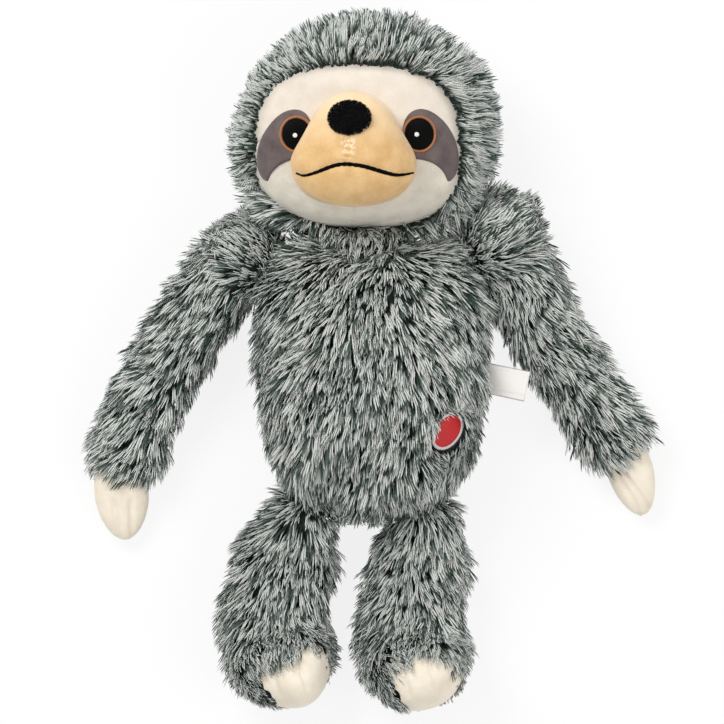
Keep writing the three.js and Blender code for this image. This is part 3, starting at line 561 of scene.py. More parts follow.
@dataclass
class SoftForm:
    """A stuffed form: rings along a spine, rounded at both ends."""

    path: Array
    half_width: float
    half_depth: float
    width_shares: tuple[float, ...] = (1.0, 1.0)
    depth_shares: tuple[float, ...] = (1.0, 1.0)
    start_reach: float = 10.0
    end_reach: float = 10.0
    start_fullness: Pair = (3.0, 3.0)
    end_fullness: Pair = (3.0, 3.0)
    squareness: float = 2.3
    taper: float = 0.0
    up: Place = (0.0, 0.0, 1.0)

    def __post_init__(self) -> None:
        """Works out the distance of each of the spine's points from its start."""
        steps = np.linalg.norm(np.diff(self.path, axis=0), axis=1)
        self.stations = np.concatenate([[0], np.cumsum(steps)])
        self.length = float(self.stations[-1])
        self.slopes = unit(np.gradient(self.path, axis=0))

    def frame_at(self, along: Array) -> tuple[Array, ...]:
        """Gives the place, side, lift and slope of the spine at distances along it."""
        inside = np.clip(along, 0, self.length)
        place = np.stack([np.interp(inside, self.stations, c) for c in self.path.T], 1)
        slope = unit(np.stack([np.interp(inside, self.stations, c) for c in self.slopes.T], 1))
        place = place + slope * (along - inside)[:, None]
        side = unit(np.cross(np.array(self.up), slope))
        return place, side, np.cross(slope, side), slope

    def half_sizes(self, along: Array, inset: float) -> tuple[Array, Array]:
        """Gives the half width and half depth at distances along the spine."""
        share = np.clip(along / self.length, 0, 1)
        sizes = []
        for full, shares, key in (
            (self.half_width, self.width_shares, 0),
            (self.half_depth, self.depth_shares, 1),
        ):
            stops = np.linspace(0, 1, len(shares))
            fine = np.linspace(0, 1, 41)
            eased = np.convolve(
                np.pad(np.interp(fine, stops, shares), 4, mode="edge"), np.ones(9) / 9, "valid"
            )
            rise = roundness(along - inset, self.start_reach, self.start_fullness[key])
            fall = roundness(self.length - along - inset, self.end_reach, self.end_fullness[key])
            sizes.append((full * np.interp(share, fine, eased) - inset) * rise * fall)
        return sizes[0], sizes[1]

    def surface(self, along: Array, angle: Array, inset: float) -> Array:
        """Gives points of the form's surface.

        Args:
            along: Distances along the spine.
            angle: Angles round it, from its side towards its lift.
            inset: How far inside the full form the surface lies.

        Returns:
            One point for each pair.
        """
        place, side, lift, _ = self.frame_at(along)
        width, depth = self.half_sizes(along, inset)
        power = 2 / self.squareness
        across = width * np.sign(np.cos(angle)) * np.abs(np.cos(angle)) ** power
        across = across * (1 - self.taper * np.sin(angle))
        rise = depth * np.sign(np.sin(angle)) * np.abs(np.sin(angle)) ** power
        return place + side * across[:, None] + lift * rise[:, None]

    def loft(self, name: str, inset: float, sides: int = 36, rings: int = 30) -> Object:
        """Makes the closed form as a mesh."""
        ends = (1 - np.cos(np.linspace(0, math.pi, rings + 1)))[1:-1] / 2
        along = inset + (self.length - 2 * inset) * ends
        angles = np.arange(sides) * 2 * math.pi / sides
        rows = np.repeat(along, sides)
        points = self.surface(rows, np.tile(angles, len(along)), inset)
        tips = self.frame_at(np.array([inset, self.length - inset]))[0]
        faces = [tuple(reversed(f)) for f in grid_faces(len(along), sides)]
        count = len(points)
        for j in range(sides):
            k = (j + 1) % sides
            faces.append((count, j, k))
            faces.append((count + 1, count - sides + k, count - sides + j))
        made = mesh_object(name, np.vstack([points, tips]), faces)
        face_outwards(made)
        return made

    def local(self, points: Array) -> tuple[Array, Array, Array]:
        """Gives how far along, across and up from the spine each point lies."""
        apart = np.linalg.norm(points[:, None, :] - self.path[None, ::2, :], axis=2)
        along = self.stations[::2][apart.argmin(1)]
        place, side, lift, slope = self.frame_at(along)
        away = points - place
        along = along + (away * slope).sum(1)
        return along, (away * side).sum(1), (away * lift).sum(1)

    def fill(self, points: Array, inset: float) -> Array:
        """Tells how far out in the form each point lies: under 1 is inside."""
        along, across, rise = self.local(points)
        width, depth = self.half_sizes(along, inset)
        ratio = np.abs(across) / np.maximum(width, 0.1), np.abs(rise) / np.maximum(depth, 0.1)
        return (ratio[0] ** self.squareness + ratio[1] ** self.squareness) ** (1 / self.squareness)


def face_outwards(piece: Object) -> None:
    """Turns a closed mesh's faces outwards, by the sign of its volume."""
    piece.data.calc_loop_triangles()
    corners = np.zeros(len(piece.data.loop_triangles) * 3, np.int32)
    piece.data.loop_triangles.foreach_get("vertices", corners)
    a, b, c = points_of(piece)[corners.reshape(-1, 3)].transpose(1, 0, 2)
    if (a * np.cross(b, c)).sum() < 0:
        piece.data.flip_normals()


def rounded(path: Array, halves: Pair, reach: float, up: Place = (0.0, 0.0, 1.0)) -> SoftForm:
    """Gives a form that is round across, with a half width and depth and round ends."""
    full = (2.0, 2.0)
    return SoftForm(
        path,
        *halves,
        start_reach=reach,
        end_reach=reach,
        start_fullness=full,
        end_fullness=full,
        squareness=2.0,
        up=up,
    )


def ball(name: str, centre: Array, radius: float) -> Object:
    """Makes a round form."""
    path = np.linspace(centre - [0, 0, radius], centre + [0, 0, radius], 20)
    return rounded(path, (radius, radius), radius, (0.0, 1.0, 0.0)).loft(name, 0.0, 24, 16)


@dataclass(frozen=True)
class Padding:
    """How a cloth cover is stuffed."""

    voxel: float = 4.0
    smoothing: int = 8
    pressure: float = 4.0
    cap: float = 2.5
    frames: int = 20
    levels: int = 1

    def stuff(self, piece: Object, seam: Callable[[Array], Array]) -> None:
        """Remeshes a closed form, swells it as cloth under pressure and smooths it.

        Args:
            piece: The form. Parts of it may overlap.
            seam: Tells which points of the remeshed form a seam holds.
        """
        remesh = piece.modifiers.new("remesh", "REMESH")
        remesh.mode = "VOXEL"
        remesh.voxel_size = self.voxel * MM
        ease = piece.modifiers.new("ease", "SMOOTH")
        ease.iterations = self.smoothing
        apply_modifiers(piece)
        if self.pressure > 0:
            self.swell(piece, seam)
        if self.levels:
            finer = piece.modifiers.new("finer", "SUBSURF")
            finer.levels = self.levels
            finer.render_levels = self.levels
            apply_modifiers(piece)
        smooth(piece)

    def swell(self, piece: Object, seam: Callable[[Array], Array]) -> None:
        """Runs the cloth under pressure and caps how far its points move."""
        scene = bpy.context.scene
        before = points_of(piece)
        cloth = piece.modifiers.new("cloth", "CLOTH")
        cloth.settings.quality = 4
        cloth.settings.mass = 0.2
        cloth.settings.use_pressure = True
        cloth.settings.uniform_pressure_force = self.pressure
        cloth.settings.effector_weights.gravity = 0
        cloth.point_cache.frame_start = 1
        cloth.point_cache.frame_end = self.frames
        group = piece.vertex_groups.new(name="seam")
        group.add(np.nonzero(seam(before))[0].tolist(), 1.0, "REPLACE")
        cloth.settings.vertex_group_mass = "seam"
        for frame_number in range(1, self.frames + 1):
            scene.frame_set(frame_number)
        graph = bpy.context.evaluated_depsgraph_get()
        moved = bpy.data.meshes.new_from_object(piece.evaluated_get(graph))
        flat = np.zeros(len(moved.vertices) * 3, np.float32)
        moved.vertices.foreach_get("co", flat)
        bpy.data.meshes.remove(moved)
        piece.modifiers.clear()
        scene.frame_set(1)
        travel = flat.reshape(-1, 3).astype(float) / MM - before
        far = np.linalg.norm(travel, axis=1, keepdims=True)
        travel *= self.cap * np.tanh(far / self.cap) / np.maximum(far, 1e-9)
        LOG.info("%s swelled by up to %.1f mm", piece.name, far.max())
        move_points(piece, before + travel)


# Fur


def strand(length: float, width: float, bend: float, curl: float, shift: Pair) -> Array:
    """Gives the points of one three-sided strand that bends over towards +X.

    Args:
        length: Length of the strand in millimetres.
        width: Width at its thickest.
        bend: How far it bends over, in radians from upright.
        curl: How far its end swings sideways, as a share of its length.
        shift: How far it stands aside at its root and at its middle.

    Returns:
        Three rings of three points and the tip.
    """
    rings, place, reached = [], np.zeros(3), 0.0
    for along, turned, thick in ((0.0, 0.0, 0.34), (0.5, 0.62, 0.5), (0.86, 1.0, 0.42)):
        angle = bend * turned
        place = place + np.array([math.sin(angle), 0, math.cos(angle)]) * length * (along - reached)
        reached = along
        aside = shift[0] + (shift[1] - shift[0]) * math.sin(along * math.pi / 2)
        aside += curl * length * along**2
        side = np.array([math.cos(angle), 0, -math.sin(angle)])
        for corner in range(3):
            turn = (corner * 2 + 1) * math.pi / 3
            flat = np.array([0, math.cos(turn), 0]) + side * math.sin(turn) * 0.7
            rings.append(place + [0, aside, 0] + flat * thick * width)
    end = np.array([math.sin(bend * 1.08), 0, math.cos(bend * 1.08)]) * length * 0.14
    return np.array([*rings, place + end + [0, shift[1] + curl * length, 0]])


def strand_shapes(length: float, width: float, leans: tuple[float, ...]) -> Collection:
    """Makes the locks that the fur repeats: each has three strands bent over towards +X.

    Args:
        length: Length of a lock in millimetres.
        width: Width of a strand at its thickest.
        leans: How far each lock bends over, in degrees from upright.

    Returns:
        A collection of the locks, outside the scene.
    """
    locks = bpy.data.collections.new("locks")
    loop = [
        (3 * k + j, 3 * k + (j + 1) % 3, 3 * k + 3 + (j + 1) % 3, 3 * k + 3 + j)
        for k in range(2)
        for j in range(3)
    ]
    loop += [(6 + j, 6 + (j + 1) % 3, 9) for j in range(3)]
    loop.append((2, 1, 0))
    # How pale each of a lock's strands is: the middle one is the darkest, partly the coat's dark
    # strands and partly painted shade between the two pale strands beside it
    shades = (1.0, 0.0, 2.0)
    for number, lean in enumerate(leans):
        curl = 0.09 * math.sin(number * 2.4)
        parts = (
            strand(length, width, math.radians(lean), curl, (-0.15 * width, -1.1 * width)),
            strand(length * 0.93, width, math.radians(lean - 6), curl, (0.0, 0.1 * width)),
            strand(
                length * 0.82, width, math.radians(lean + 2), -curl, (0.15 * width, 1.15 * width)
            ),
        )
        faces = [tuple(10 * k + corner for corner in face) for k in range(3) for face in loop]
        lock = mesh_object(f"lock_{lean:.0f}", np.concatenate(parts), faces)
        face_outwards(lock)
        along = lock.data.attributes.new("along", "FLOAT", "POINT")
        along.data.foreach_set("value", ([0.0] * 3 + [0.5] * 3 + [0.86] * 3 + [1.0]) * 3)
        around = lock.data.attributes.new("around", "FLOAT", "POINT")
        around.data.foreach_set("value", [shade for shade in shades for _ in range(10)])
        bpy.context.scene.collection.objects.unlink(lock)
        locks.objects.link(lock)
    return locks


def new_tree(name: str, sockets: dict[str, str], result: str) -> tuple[NodeTree, Adder, Node]:
    """Starts a Geometry Nodes tree.

    Args:
        name: Name of the tree.
        sockets: Kind of each named input.
        result: Name of the geometry that comes out.

    Returns:
        The tree, what adds its nodes and the node that gives its inputs.
    """
    tree = bpy.data.node_groups.new(name, "GeometryNodeTree")
    for key, kind in sockets.items():
        tree.interface.new_socket(key, in_out="INPUT", socket_type=f"NodeSocket{kind}")
    tree.interface.new_socket(result, in_out="OUTPUT", socket_type="NodeSocketGeometry")
    add = partial(add_node, tree)
    return tree, add, add("NodeGroupInput")


def close_tree(add: Adder, shape: Node, given: Node) -> None:
    """Ends a tree: smooth shading, the finish and the way out."""
    shaded = add("GeometryNodeSetShadeSmooth", {"Geometry": shape})
    finish = {"Geometry": shaded, "Material": (given, "Finish")}
    dressed = add("GeometryNodeSetMaterial", finish)
    add("NodeGroupOutput", {0: dressed})


def pile_tree() -> NodeTree:
    """Builds the node tree that plants tufts on a cloth along its combed lines.

    Returns:
        The tree, with inputs for its tufts, density, jitter, lengths, floor and finish.
    """
    sockets = {"Cloth": "Geometry", "Tufts": "Collection", "Density": "Float", "Jitter": "Float"}
    sockets |= {"Shortest": "Float", "Longest": "Float", "Floor": "Float", "Seed": "Int"}
    tree, add, given = new_tree("pile", sockets | {"Finish": "Material"}, "Pile")
    marks = {
        name: add("GeometryNodeInputNamedAttribute", {"Name": name}, data_type=kind)
        for name, kind in {"comb": "FLOAT_VECTOR", **dict.fromkeys(MARKS, "FLOAT")}.items()
    }
    draws = {}
    for shift, (name, kind, low, high) in enumerate(
        (
            ("wobble", "FLOAT_VECTOR", (-1.0,) * 3, (1.0,) * 3),
            ("size", "FLOAT", (given, "Shortest"), (given, "Longest")),
            ("lock", "INT", 0, 5),
            ("strand", "FLOAT", 0.0, 1.0),
        )
    ):
        seed = add("ShaderNodeMath", {0: (given, "Seed"), 1: shift + 1.0})
        limits = {"Min": low, "Max": high, "Seed": seed}
        draws[name] = add("FunctionNodeRandomValue", limits, data_type=kind)

    density = {0: (given, "Density"), 1: marks["planted"]}
    close = add("ShaderNodeMath", density, operation="MULTIPLY")
    cloth = {"Mesh": (given, "Cloth"), "Density": close, "Seed": (given, "Seed")}
    spread = add("GeometryNodeDistributePointsOnFaces", cloth, distribute_method="RANDOM")
    jitter = {0: draws["wobble"], "Scale": (given, "Jitter")}
    wobble = add("ShaderNodeVectorMath", jitter, operation="SCALE")
    lean = add("ShaderNodeVectorMath", {0: marks["comb"], 1: wobble}, operation="ADD")
    tilt = add("ShaderNodeVectorMath", {0: wobble, "Scale": 0.5}, operation="SCALE")
    rise = add("ShaderNodeVectorMath", {0: (spread, "Normal"), 1: tilt}, operation="ADD")
    upright = add("FunctionNodeAlignRotationToVector", {"Vector": rise}, axis="Z")
    turn = {"Rotation": upright, "Vector": lean}
    combed = add("FunctionNodeAlignRotationToVector", turn, axis="X", pivot_axis="Z")
    scale = {0: draws["size"], 1: marks["grow"]}
    size = add("ShaderNodeMath", scale, operation="MULTIPLY")
    held = {"Collection": (given, "Tufts"), "Separate Children": True, "Reset Children": True}
    tufts = add("GeometryNodeCollectionInfo", held)
    lock = {"Instance": tufts, "Pick Instance": True, "Instance Index": draws["lock"]}
    lock |= {"Points": (spread, "Points"), "Rotation": combed, "Scale": size}
    planted = add("GeometryNodeInstanceOnPoints", lock)
    marked = add(
        "GeometryNodeStoreNamedAttribute",
        {"Geometry": planted, "Name": "strand", "Value": draws["strand"]},
        data_type="FLOAT",
        domain="INSTANCE",
    )
    real = add("GeometryNodeRealizeInstances", {"Geometry": marked})

    # The map: a strand's shade across it, and how far along the strand up it
    column = add("ShaderNodeMath", {0: marks["strand"], 1: 0.64}, operation="MULTIPLY")
    around, row = (
        add("ShaderNodeMath", terms, operation="MULTIPLY_ADD")
        for terms in (
            {0: marks["around"], 1: 0.17, 2: column},
            {0: marks["along"], 1: 0.96, 2: 0.02},
        )
    )
    pair = add("ShaderNodeCombineXYZ", {"X": around, "Y": row})
    mapped = add(
        "GeometryNodeStoreNamedAttribute",
        {"Geometry": real, "Name": UV, "Value": pair},
        data_type="FLOAT2",
        domain="CORNER",
    )

    # Strands lie on the table and don't reach through it
    apart = add("ShaderNodeSeparateXYZ", {"Vector": add("GeometryNodeInputPosition")})
    level = {0: (apart, "Z"), 1: (given, "Floor")}
    height = add("ShaderNodeMath", level, operation="MAXIMUM")
    laid = add("ShaderNodeCombineXYZ", {"X": (apart, "X"), "Y": (apart, "Y"), "Z": height})
    resting = add("GeometryNodeSetPosition", {"Geometry": mapped, "Position": laid})
    close_tree(add, resting, given)
    return tree


def use_tree(piece: Object, tree: NodeTree, values: dict[str, object]) -> None:
    """Runs a node tree on a piece and keeps the result as a plain mesh.

    Args:
        piece: The piece, whose mesh is the tree's input.
        tree: The node tree.
        values: Value for each named input.
    """
    modifier = piece.modifiers.new(tree.name, "NODES")
    modifier.node_group = tree
    keys = {s.name: s.identifier for s in tree.interface.items_tree if s.in_out == "INPUT"}
    for name, value in values.items():
        modifier[keys[name]] = value
    apply_modifiers(piece)


def mark(piece: Object, values: dict[str, Array]) -> None:
    """Stores numbers or vectors at a mesh's points, by name, for a node tree to read."""
    for name, rows in values.items():
        kind, slot = ("FLOAT_VECTOR", "vector") if rows.ndim > 1 else ("FLOAT", "value")
        made = piece.data.attributes.new(name, kind, "POINT")
        made.data.foreach_set(slot, rows.astype(np.float32).ravel())


@dataclass(frozen=True)
class Combing:
    """How a coat's strands wander from the way that they are combed."""

    seed: int
    swirl: float = 30.0
    swirl_share: float = 0.2
    wave: float = 11.0
    wave_share: float = 0.14

    def ruffle(self, comb: Array, points: Array) -> Array:
        """Adds broad swirls and small waves to a coat's combing."""
        broad = drift(points, self.swirl, self.seed + 1) * self.swirl_share
        return comb + broad + drift(points, self.wave, self.seed + 2) * self.wave_share

    def uneven(self, points: Array, size: float) -> Array:
        """Gives how much longer the coat is at each point, about -1 to 1."""
        return drift(points, size, self.seed + 3)[:, 0]


@dataclass
class Pile:
    """Fur on a cloth: how long, how wide and how close its tufts are."""

    finish: Material
    length: float = 15.0
    width: float = 0.86
    leans: tuple[float, ...] = (56.0, 62.0, 67.0, 72.0, 77.0, 83.0)
    jitter: float = 0.2
    shortest: float = 0.78
    longest: float = 1.08
    floor: float = 0.15
    tree: NodeTree | None = None
    tufts: Collection | None = None

    def plant(
        self,
        name: str,
        cloth: Object,
        comb: Array,
        planted: Array,
        grow: Array,
        count: int,
        seed: int,
    ) -> Object:
        """Grows fur on a cloth.

        Args:
            name: Name of the fur.
            cloth: The mesh that carries it.
            comb: Direction that it is combed in, for each point of the cloth.
            planted: Share of the full density at each point.
            grow: Share of the full length at each point.
            count: About how many tufts to plant.
            seed: Number that fixes their places.

        Returns:
            The fur, as a plain mesh.
        """
        self.tree = self.tree or pile_tree()
        self.tufts = self.tufts or strand_shapes(self.length, self.width, self.leans)
        fur = bpy.data.objects.new(name, cloth.data.copy())
        bpy.context.scene.collection.objects.link(fur)
        normals = normals_of(fur)
        flat = comb - normals * (comb * normals).sum(1, keepdims=True)
        mark(fur, {"comb": unit(flat), "planted": planted, "grow": grow})
        area = 0.0
        for polygon in fur.data.polygons:
            area += polygon.area * float(np.mean(planted[list(polygon.vertices)]))
        values = {
            "Tufts": self.tufts,
            "Density": count / max(area, 1e-9),
            "Jitter": self.jitter,
            "Shortest": self.shortest,
            "Longest": self.longest,
            "Floor": self.floor * MM,
            "Seed": seed,
            "Finish": self.finish,
        }
        use_tree(fur, self.tree, values)
        for key in ("comb", *MARKS):
            extra = fur.data.attributes.get(key)
            if extra is not None:
                fur.data.attributes.remove(extra)
        LOG.info("%s: %d faces over %.0f cm2", name, len(fur.data.polygons), area * 1e4)
        return fur


# Shapes of small sewn parts


def slab(name: str, top: Array, under: Array, closed: bool = False) -> Object:
    """Makes a closed piece between an upper and a lower grid of points.

    Args:
        name: Name of the piece.
        top: Points of the upper grid, as rows by columns by 3.
        under: Points of the lower grid, of the same shape.
        closed: True where each row is a ring whose last point is not its first.

    Returns:
        The piece, with its equal points welded.
    """
    rows, columns = top.shape[:2]
    count = rows * columns
    faces = grid_faces(rows, columns, closed)
    faces += [tuple(count + k for k in reversed(f)) for f in faces]
    last = columns if closed else columns - 1
    for start in (0, (rows - 1) * columns):
        for j in range(last):
            a, b = start + j, start + (j + 1) % columns
            faces.append((a, b, count + b, count + a))
    if not closed:
        for j in (0, columns - 1):
            for i in range(rows - 1):
                a, b = i * columns + j, (i + 1) * columns + j
                faces.append((a, b, count + b, count + a))
    made = mesh_object(name, np.vstack([top.reshape(-1, 3), under.reshape(-1, 3)]), faces)
    weld(made)
    return made


def weld(piece: Object) -> None:
    """Joins points that lie together, drops flat faces and turns the rest outwards."""
    shape = bmesh.new()
    shape.from_mesh(piece.data)
    bmesh.ops.remove_doubles(shape, verts=shape.verts, dist=1e-6)
    bmesh.ops.dissolve_degenerate(shape, edges=shape.edges, dist=1e-7)
    loose = [v for v in shape.verts if not v.link_faces]
    bmesh.ops.delete(shape, geom=loose, context="VERTS")
    bmesh.ops.recalc_face_normals(shape, faces=shape.faces)
    shape.to_mesh(piece.data)
    shape.free()
    face_outwards(piece)
    smooth(piece)


def finish_piece(piece: Object, material: Material, body: str) -> Object:
    """Gives a piece its finish and the body that it rides on."""
    piece.data.materials.clear()
    piece.data.materials.append(material)
    piece.modifiers.clear()
    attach(piece, body)
    LOG.info("%s rides on %s in %s", piece.name, body, material.name)
    return piece


@dataclass(frozen=True)
class Oval:
    """A tilted superellipse in the picture plane."""

    x: float
    y: float
    half_width: float
    half_height: float
    tilt: float = 0.0
    corner: float = 2.0

    def at(self, radius: Array, angle: Array) -> tuple[Array, Array]:
        """Gives the places at shares of the radius and at angles."""
        power = 2 / self.corner
        a = self.half_width * radius * np.sign(np.cos(angle)) * np.abs(np.cos(angle)) ** power
        b = self.half_height * radius * np.sign(np.sin(angle)) * np.abs(np.sin(angle)) ** power
        turn = math.radians(self.tilt)
        x = self.x + a * math.cos(turn) - b * math.sin(turn)
        y = self.y + a * math.sin(turn) + b * math.cos(turn)
        return x, y

    def share(self, x: Array, y: Array) -> Array:
        """Tells how far out each place lies: under 1 is inside."""
        turn = math.radians(self.tilt)
        dx, dy = x - self.x, y - self.y
        a = (dx * math.cos(turn) + dy * math.sin(turn)) / self.half_width
        b = (dy * math.cos(turn) - dx * math.sin(turn)) / self.half_height
        return (np.abs(a) ** self.corner + np.abs(b) ** self.corner) ** (1 / self.corner)

    def grid(self, rings: int, sides: int, inner: float = 0.0) -> tuple[Array, ...]:
        """Gives a polar grid over it: places and shares of the radius."""
        radius, angle = polar(rings, sides, inner)
        x, y = self.at(radius, angle)
        return x, y, radius


def polar(rings: int, sides: int, inner: float = 0.0) -> tuple[Array, Array]:
    """Gives a grid's shares of the radius, from an inner one to 1, and its angles."""
    radius = np.linspace(inner, 1, rings)[:, None] * np.ones((1, sides))
    return radius, np.ones((rings, 1)) * round_angles(sides)[None]


def round_angles(sides: int) -> Array:
    """Gives equal angles once round, in radians."""
    return np.arange(sides) * 2 * math.pi / sides


# Forms that the bodies share


TORSO = SoftForm(
    path=np.linspace([0.0, -70.2, 36.5], [0.0, 59.8, 36.5], 60),
    half_width=54.5,
    half_depth=37.0,
    width_shares=(0.92, 0.92, 0.96, 0.98, 1.0),
    depth_shares=(0.94, 1.0, 1.0, 0.96, 0.9),
    start_reach=65.0,
    end_reach=65.0,
    start_fullness=(4.0, 3.0),
    end_fullness=(7.0, 3.0),
)
HEAD = SoftForm(
    path=np.linspace([-3.8, 61.3, 42.5], [-3.8, 163.8, 42.5], 60),
    half_width=61.0,
    half_depth=43.0,
    start_reach=51.25,
    end_reach=51.25,
    start_fullness=(3.2, 3.2),
    end_fullness=(2.15, 2.8),
)
MUZZLE = SoftForm(
    path=np.linspace([-8.7, 102.55, 65.5], [-8.7, 102.55, 110.5], 40),
    half_width=29.2,
    half_depth=27.0,
    width_shares=(0.9, 0.97, 1.0, 1.0),
    depth_shares=(0.9, 0.97, 1.0, 1.0),
    start_reach=1.0,
    end_reach=27.0,
    end_fullness=(2.3, 2.3),
    taper=0.2,
    up=(0.0, 1.0, 0.0),
)
FACE = Oval(-6.7, 102.55, 48.5, 39.0, corner=2.7)
NECK_PIVOT = (-3.8, 57.8, 38.0)
# The cut muzzle: half its width at heights from the chin to between the eyes
MUZZLE_CUT = (
    (73.4, 7.0), (75.6, 13.0), (78.8, 19.8), (82.9, 23.8), (87.0, 26.8), (91.0, 28.7),
    (95.1, 30.2), (98.3, 30.1), (103.2, 28.2), (107.2, 26.2), (111.3, 24.6), (115.4, 23.2),
    (119.4, 21.6), (123.5, 18.2), (127.6, 13.2), (130.4, 6.0),
)  # fmt: skip
# The mouth line, from the toy's right to its left
MOUTH_STOPS = (
    (-40.0, 91.8), (-35.7, 90.4), (-32.0, 89.2), (-26.4, 90.6), (-21.5, 92.5), (-16.6, 94.1),
    (-11.7, 94.5), (-6.0, 93.9), (-2.0, 93.0), (2.1, 91.8), (6.1, 90.6), (11.0, 89.5),
    (15.0, 89.7), (19.5, 90.6), (24.0, 91.6),
)  # fmt: skip
TORSO_LEVEL = 36.5
HEAD_X = -3.8
COVER_INSET = 4.5
FUR_INSET = 5.0
PANEL_INSET = 3.6


def front_of(form: SoftForm, x: Array, y: Array, inset: float) -> Array:
    """Gives the height of a lying form's front at a place, at an inset from the full form."""
    middle, foot, level = form.path[0]
    width, depth = form.half_sizes(y.ravel() - foot, inset)
    width, depth = width.reshape(y.shape), depth.reshape(y.shape)
    across = np.minimum(np.abs(x - middle) / np.maximum(width, 0.1), 1)
    return level + depth * (1 - across**form.squareness) ** (1 / form.squareness)


@dataclass(frozen=True)
class ArmSizes:
    """An arm as it lies: from the shoulder's pivot to the wrist, and the hand beyond."""

    pivot: Place
    hang: float
    reach: float
    bow: float
    wrist: Place
    outward: float
    hand_width: float
    hand_length: float
    droop: float = 11.0
    hand_tuck: float = 8.0
    wrist_level: float = 12.535

    def form(self, side: Side) -> SoftForm:
        """Gives the arm's stuffed form."""
        start = np.array(self.pivot)
        away = math.radians(self.hang)
        flat = np.array([side.sign * math.sin(away), -math.cos(away), 0]) * self.reach
        end = start + flat
        end[2] = self.wrist_level
        out = np.array([side.sign * math.cos(away), math.sin(away), 0])
        bend = (start + end) / 2 + 2 * self.bow * out
        return SoftForm(
            path=bezier(start, bend, end),
            half_width=17.0,
            half_depth=16.5,
            width_shares=(1.1, 1.0, 0.98, 1.0, 1.06),
            depth_shares=(1.1, 1.0, 0.93, 0.85, 0.79),
            start_reach=10.0,
            end_reach=6.0,
        )

    def hand(self, side: Side) -> SoftForm:
        """Gives the hand's stuffed form."""
        turn, drop = math.radians(self.outward), math.radians(self.droop)
        out, down = side.sign * math.sin(turn), -math.cos(turn)
        along = np.array([out * math.cos(drop), down * math.cos(drop), -math.sin(drop)])
        wrist = np.array(self.wrist)
        return SoftForm(
            path=np.linspace(wrist - self.hand_tuck * along, wrist + self.hand_length * along, 40),
            half_width=self.hand_width,
            half_depth=8.0,
            width_shares=(0.86, 1.0, 1.0, 0.9),
            start_reach=8.0,
            end_reach=25.0,
            start_fullness=(8.0, 2.0),
            end_fullness=(1.95, 2.3),
        )


@dataclass(frozen=True)
class LegSizes:
    """A leg as it lies: from the hip's pivot over the shin to the raised toe."""

    pivot: Place
    splay: float
    shin_out: float
    toe_turn: float
    length: float = 56.0
    shin_share: float = 0.55
    shin_level: float = 20.66
    foot_level: float = 22.04
    toe_length: float = 31.0
    toe_rise: float = 25.0

    def form(self, side: Side) -> SoftForm:
        """Gives the leg's stuffed form."""

        def down(turn: float) -> Array:
            """Gives a direction towards the feet, turned outwards."""
            angle = math.radians(turn)
            return np.array([side.sign * math.sin(angle), -math.cos(angle), 0])

        hip = np.array(self.pivot)
        shin = hip + down(self.splay) * self.shin_share * self.length
        foot = hip + down(self.splay) * self.length
        toe = foot + down(self.toe_turn) * self.toe_length
        shin[0] += side.sign * self.shin_out
        shin[2], foot[2] = self.shin_level, self.foot_level
        toe[2] = self.foot_level + self.toe_rise
        return SoftForm(
            path=through(np.array([hip, shin, foot, toe])),
            half_width=25.0,
            half_depth=23.0,
            width_shares=(0.84, 0.92, 0.97, 1.03, 1.0),
            depth_shares=(0.72, 0.84, 0.92, 0.98, 0.98),
            start_reach=9.0,
            end_reach=26.0,
            end_fullness=(2.0, 2.0),
        )


ARMS = {
    Side.LEFT: ArmSizes(
        pivot=(60.0, 59.8, 28.0),
        hang=30.7,
        reach=122.7,
        bow=-2.4,
        wrist=(120.366, -42.454, 13.034),
        outward=17.0,
        hand_width=12.3,
        hand_length=32.4,
    ),
    Side.RIGHT: ArmSizes(
        pivot=(-60.0, 52.8, 28.0),
        hang=29.3,
        reach=124.5,
        bow=7.1,
        wrist=(-119.778, -51.972, 13.017),
        outward=-5.5,
        hand_width=14.3,
        hand_length=33.4,
    ),
}
LEGS = {
    Side.LEFT: LegSizes((25.0, -74.2, 24.0), splay=-6.7, shin_out=0.0, toe_turn=13.2),
    Side.RIGHT: LegSizes((-34.0, -74.2, 24.0), splay=12.1, shin_out=3.5, toe_turn=-18.9),
}


def padded_skin(
    name: str, form: SoftForm, root: tuple[tuple[float, ...], float] | None, pad: Padding
) -> Object:
    """Makes a long-pile cover's cloth: the lofted form and its round root, stuffed.

    Args:
        name: Name of the cloth.
        form: The form that it covers.
        root: Centre and radius of the ball where a limb is sewn on, if it has one.
        pad: How it is stuffed.

    Returns:
        The cloth, with its seams at the form's sides held while it swells.
    """
    skin = form.loft(name, COVER_INSET, 40, 34)
    if root is not None:
        skin = joined(name, [skin, ball(name + "_root", np.array(root[0]), root[1] - COVER_INSET)])

    def seam(points: Array) -> Array:
        """Tells which points lie on the side seams."""
        _, across, rise = form.local(points)
        return (np.abs(rise) < 2.2) & (np.abs(across) > 6)

    pad.stuff(skin, seam)
    return skin


def under_share(piece: Object) -> Array:
    """Gives less fur where a cover faces the table."""
    return 1 - 0.5 * smooth_step(-normals_of(piece)[:, 2], 0.35, 0.8)


def keep_half(planted: Array, past: Array) -> Array:
    """Keeps the fur past a seam, thinning out over 4 mm across it."""
    return planted * np.clip(past / 4 + 0.5, 0, 1)


# The toy's parts


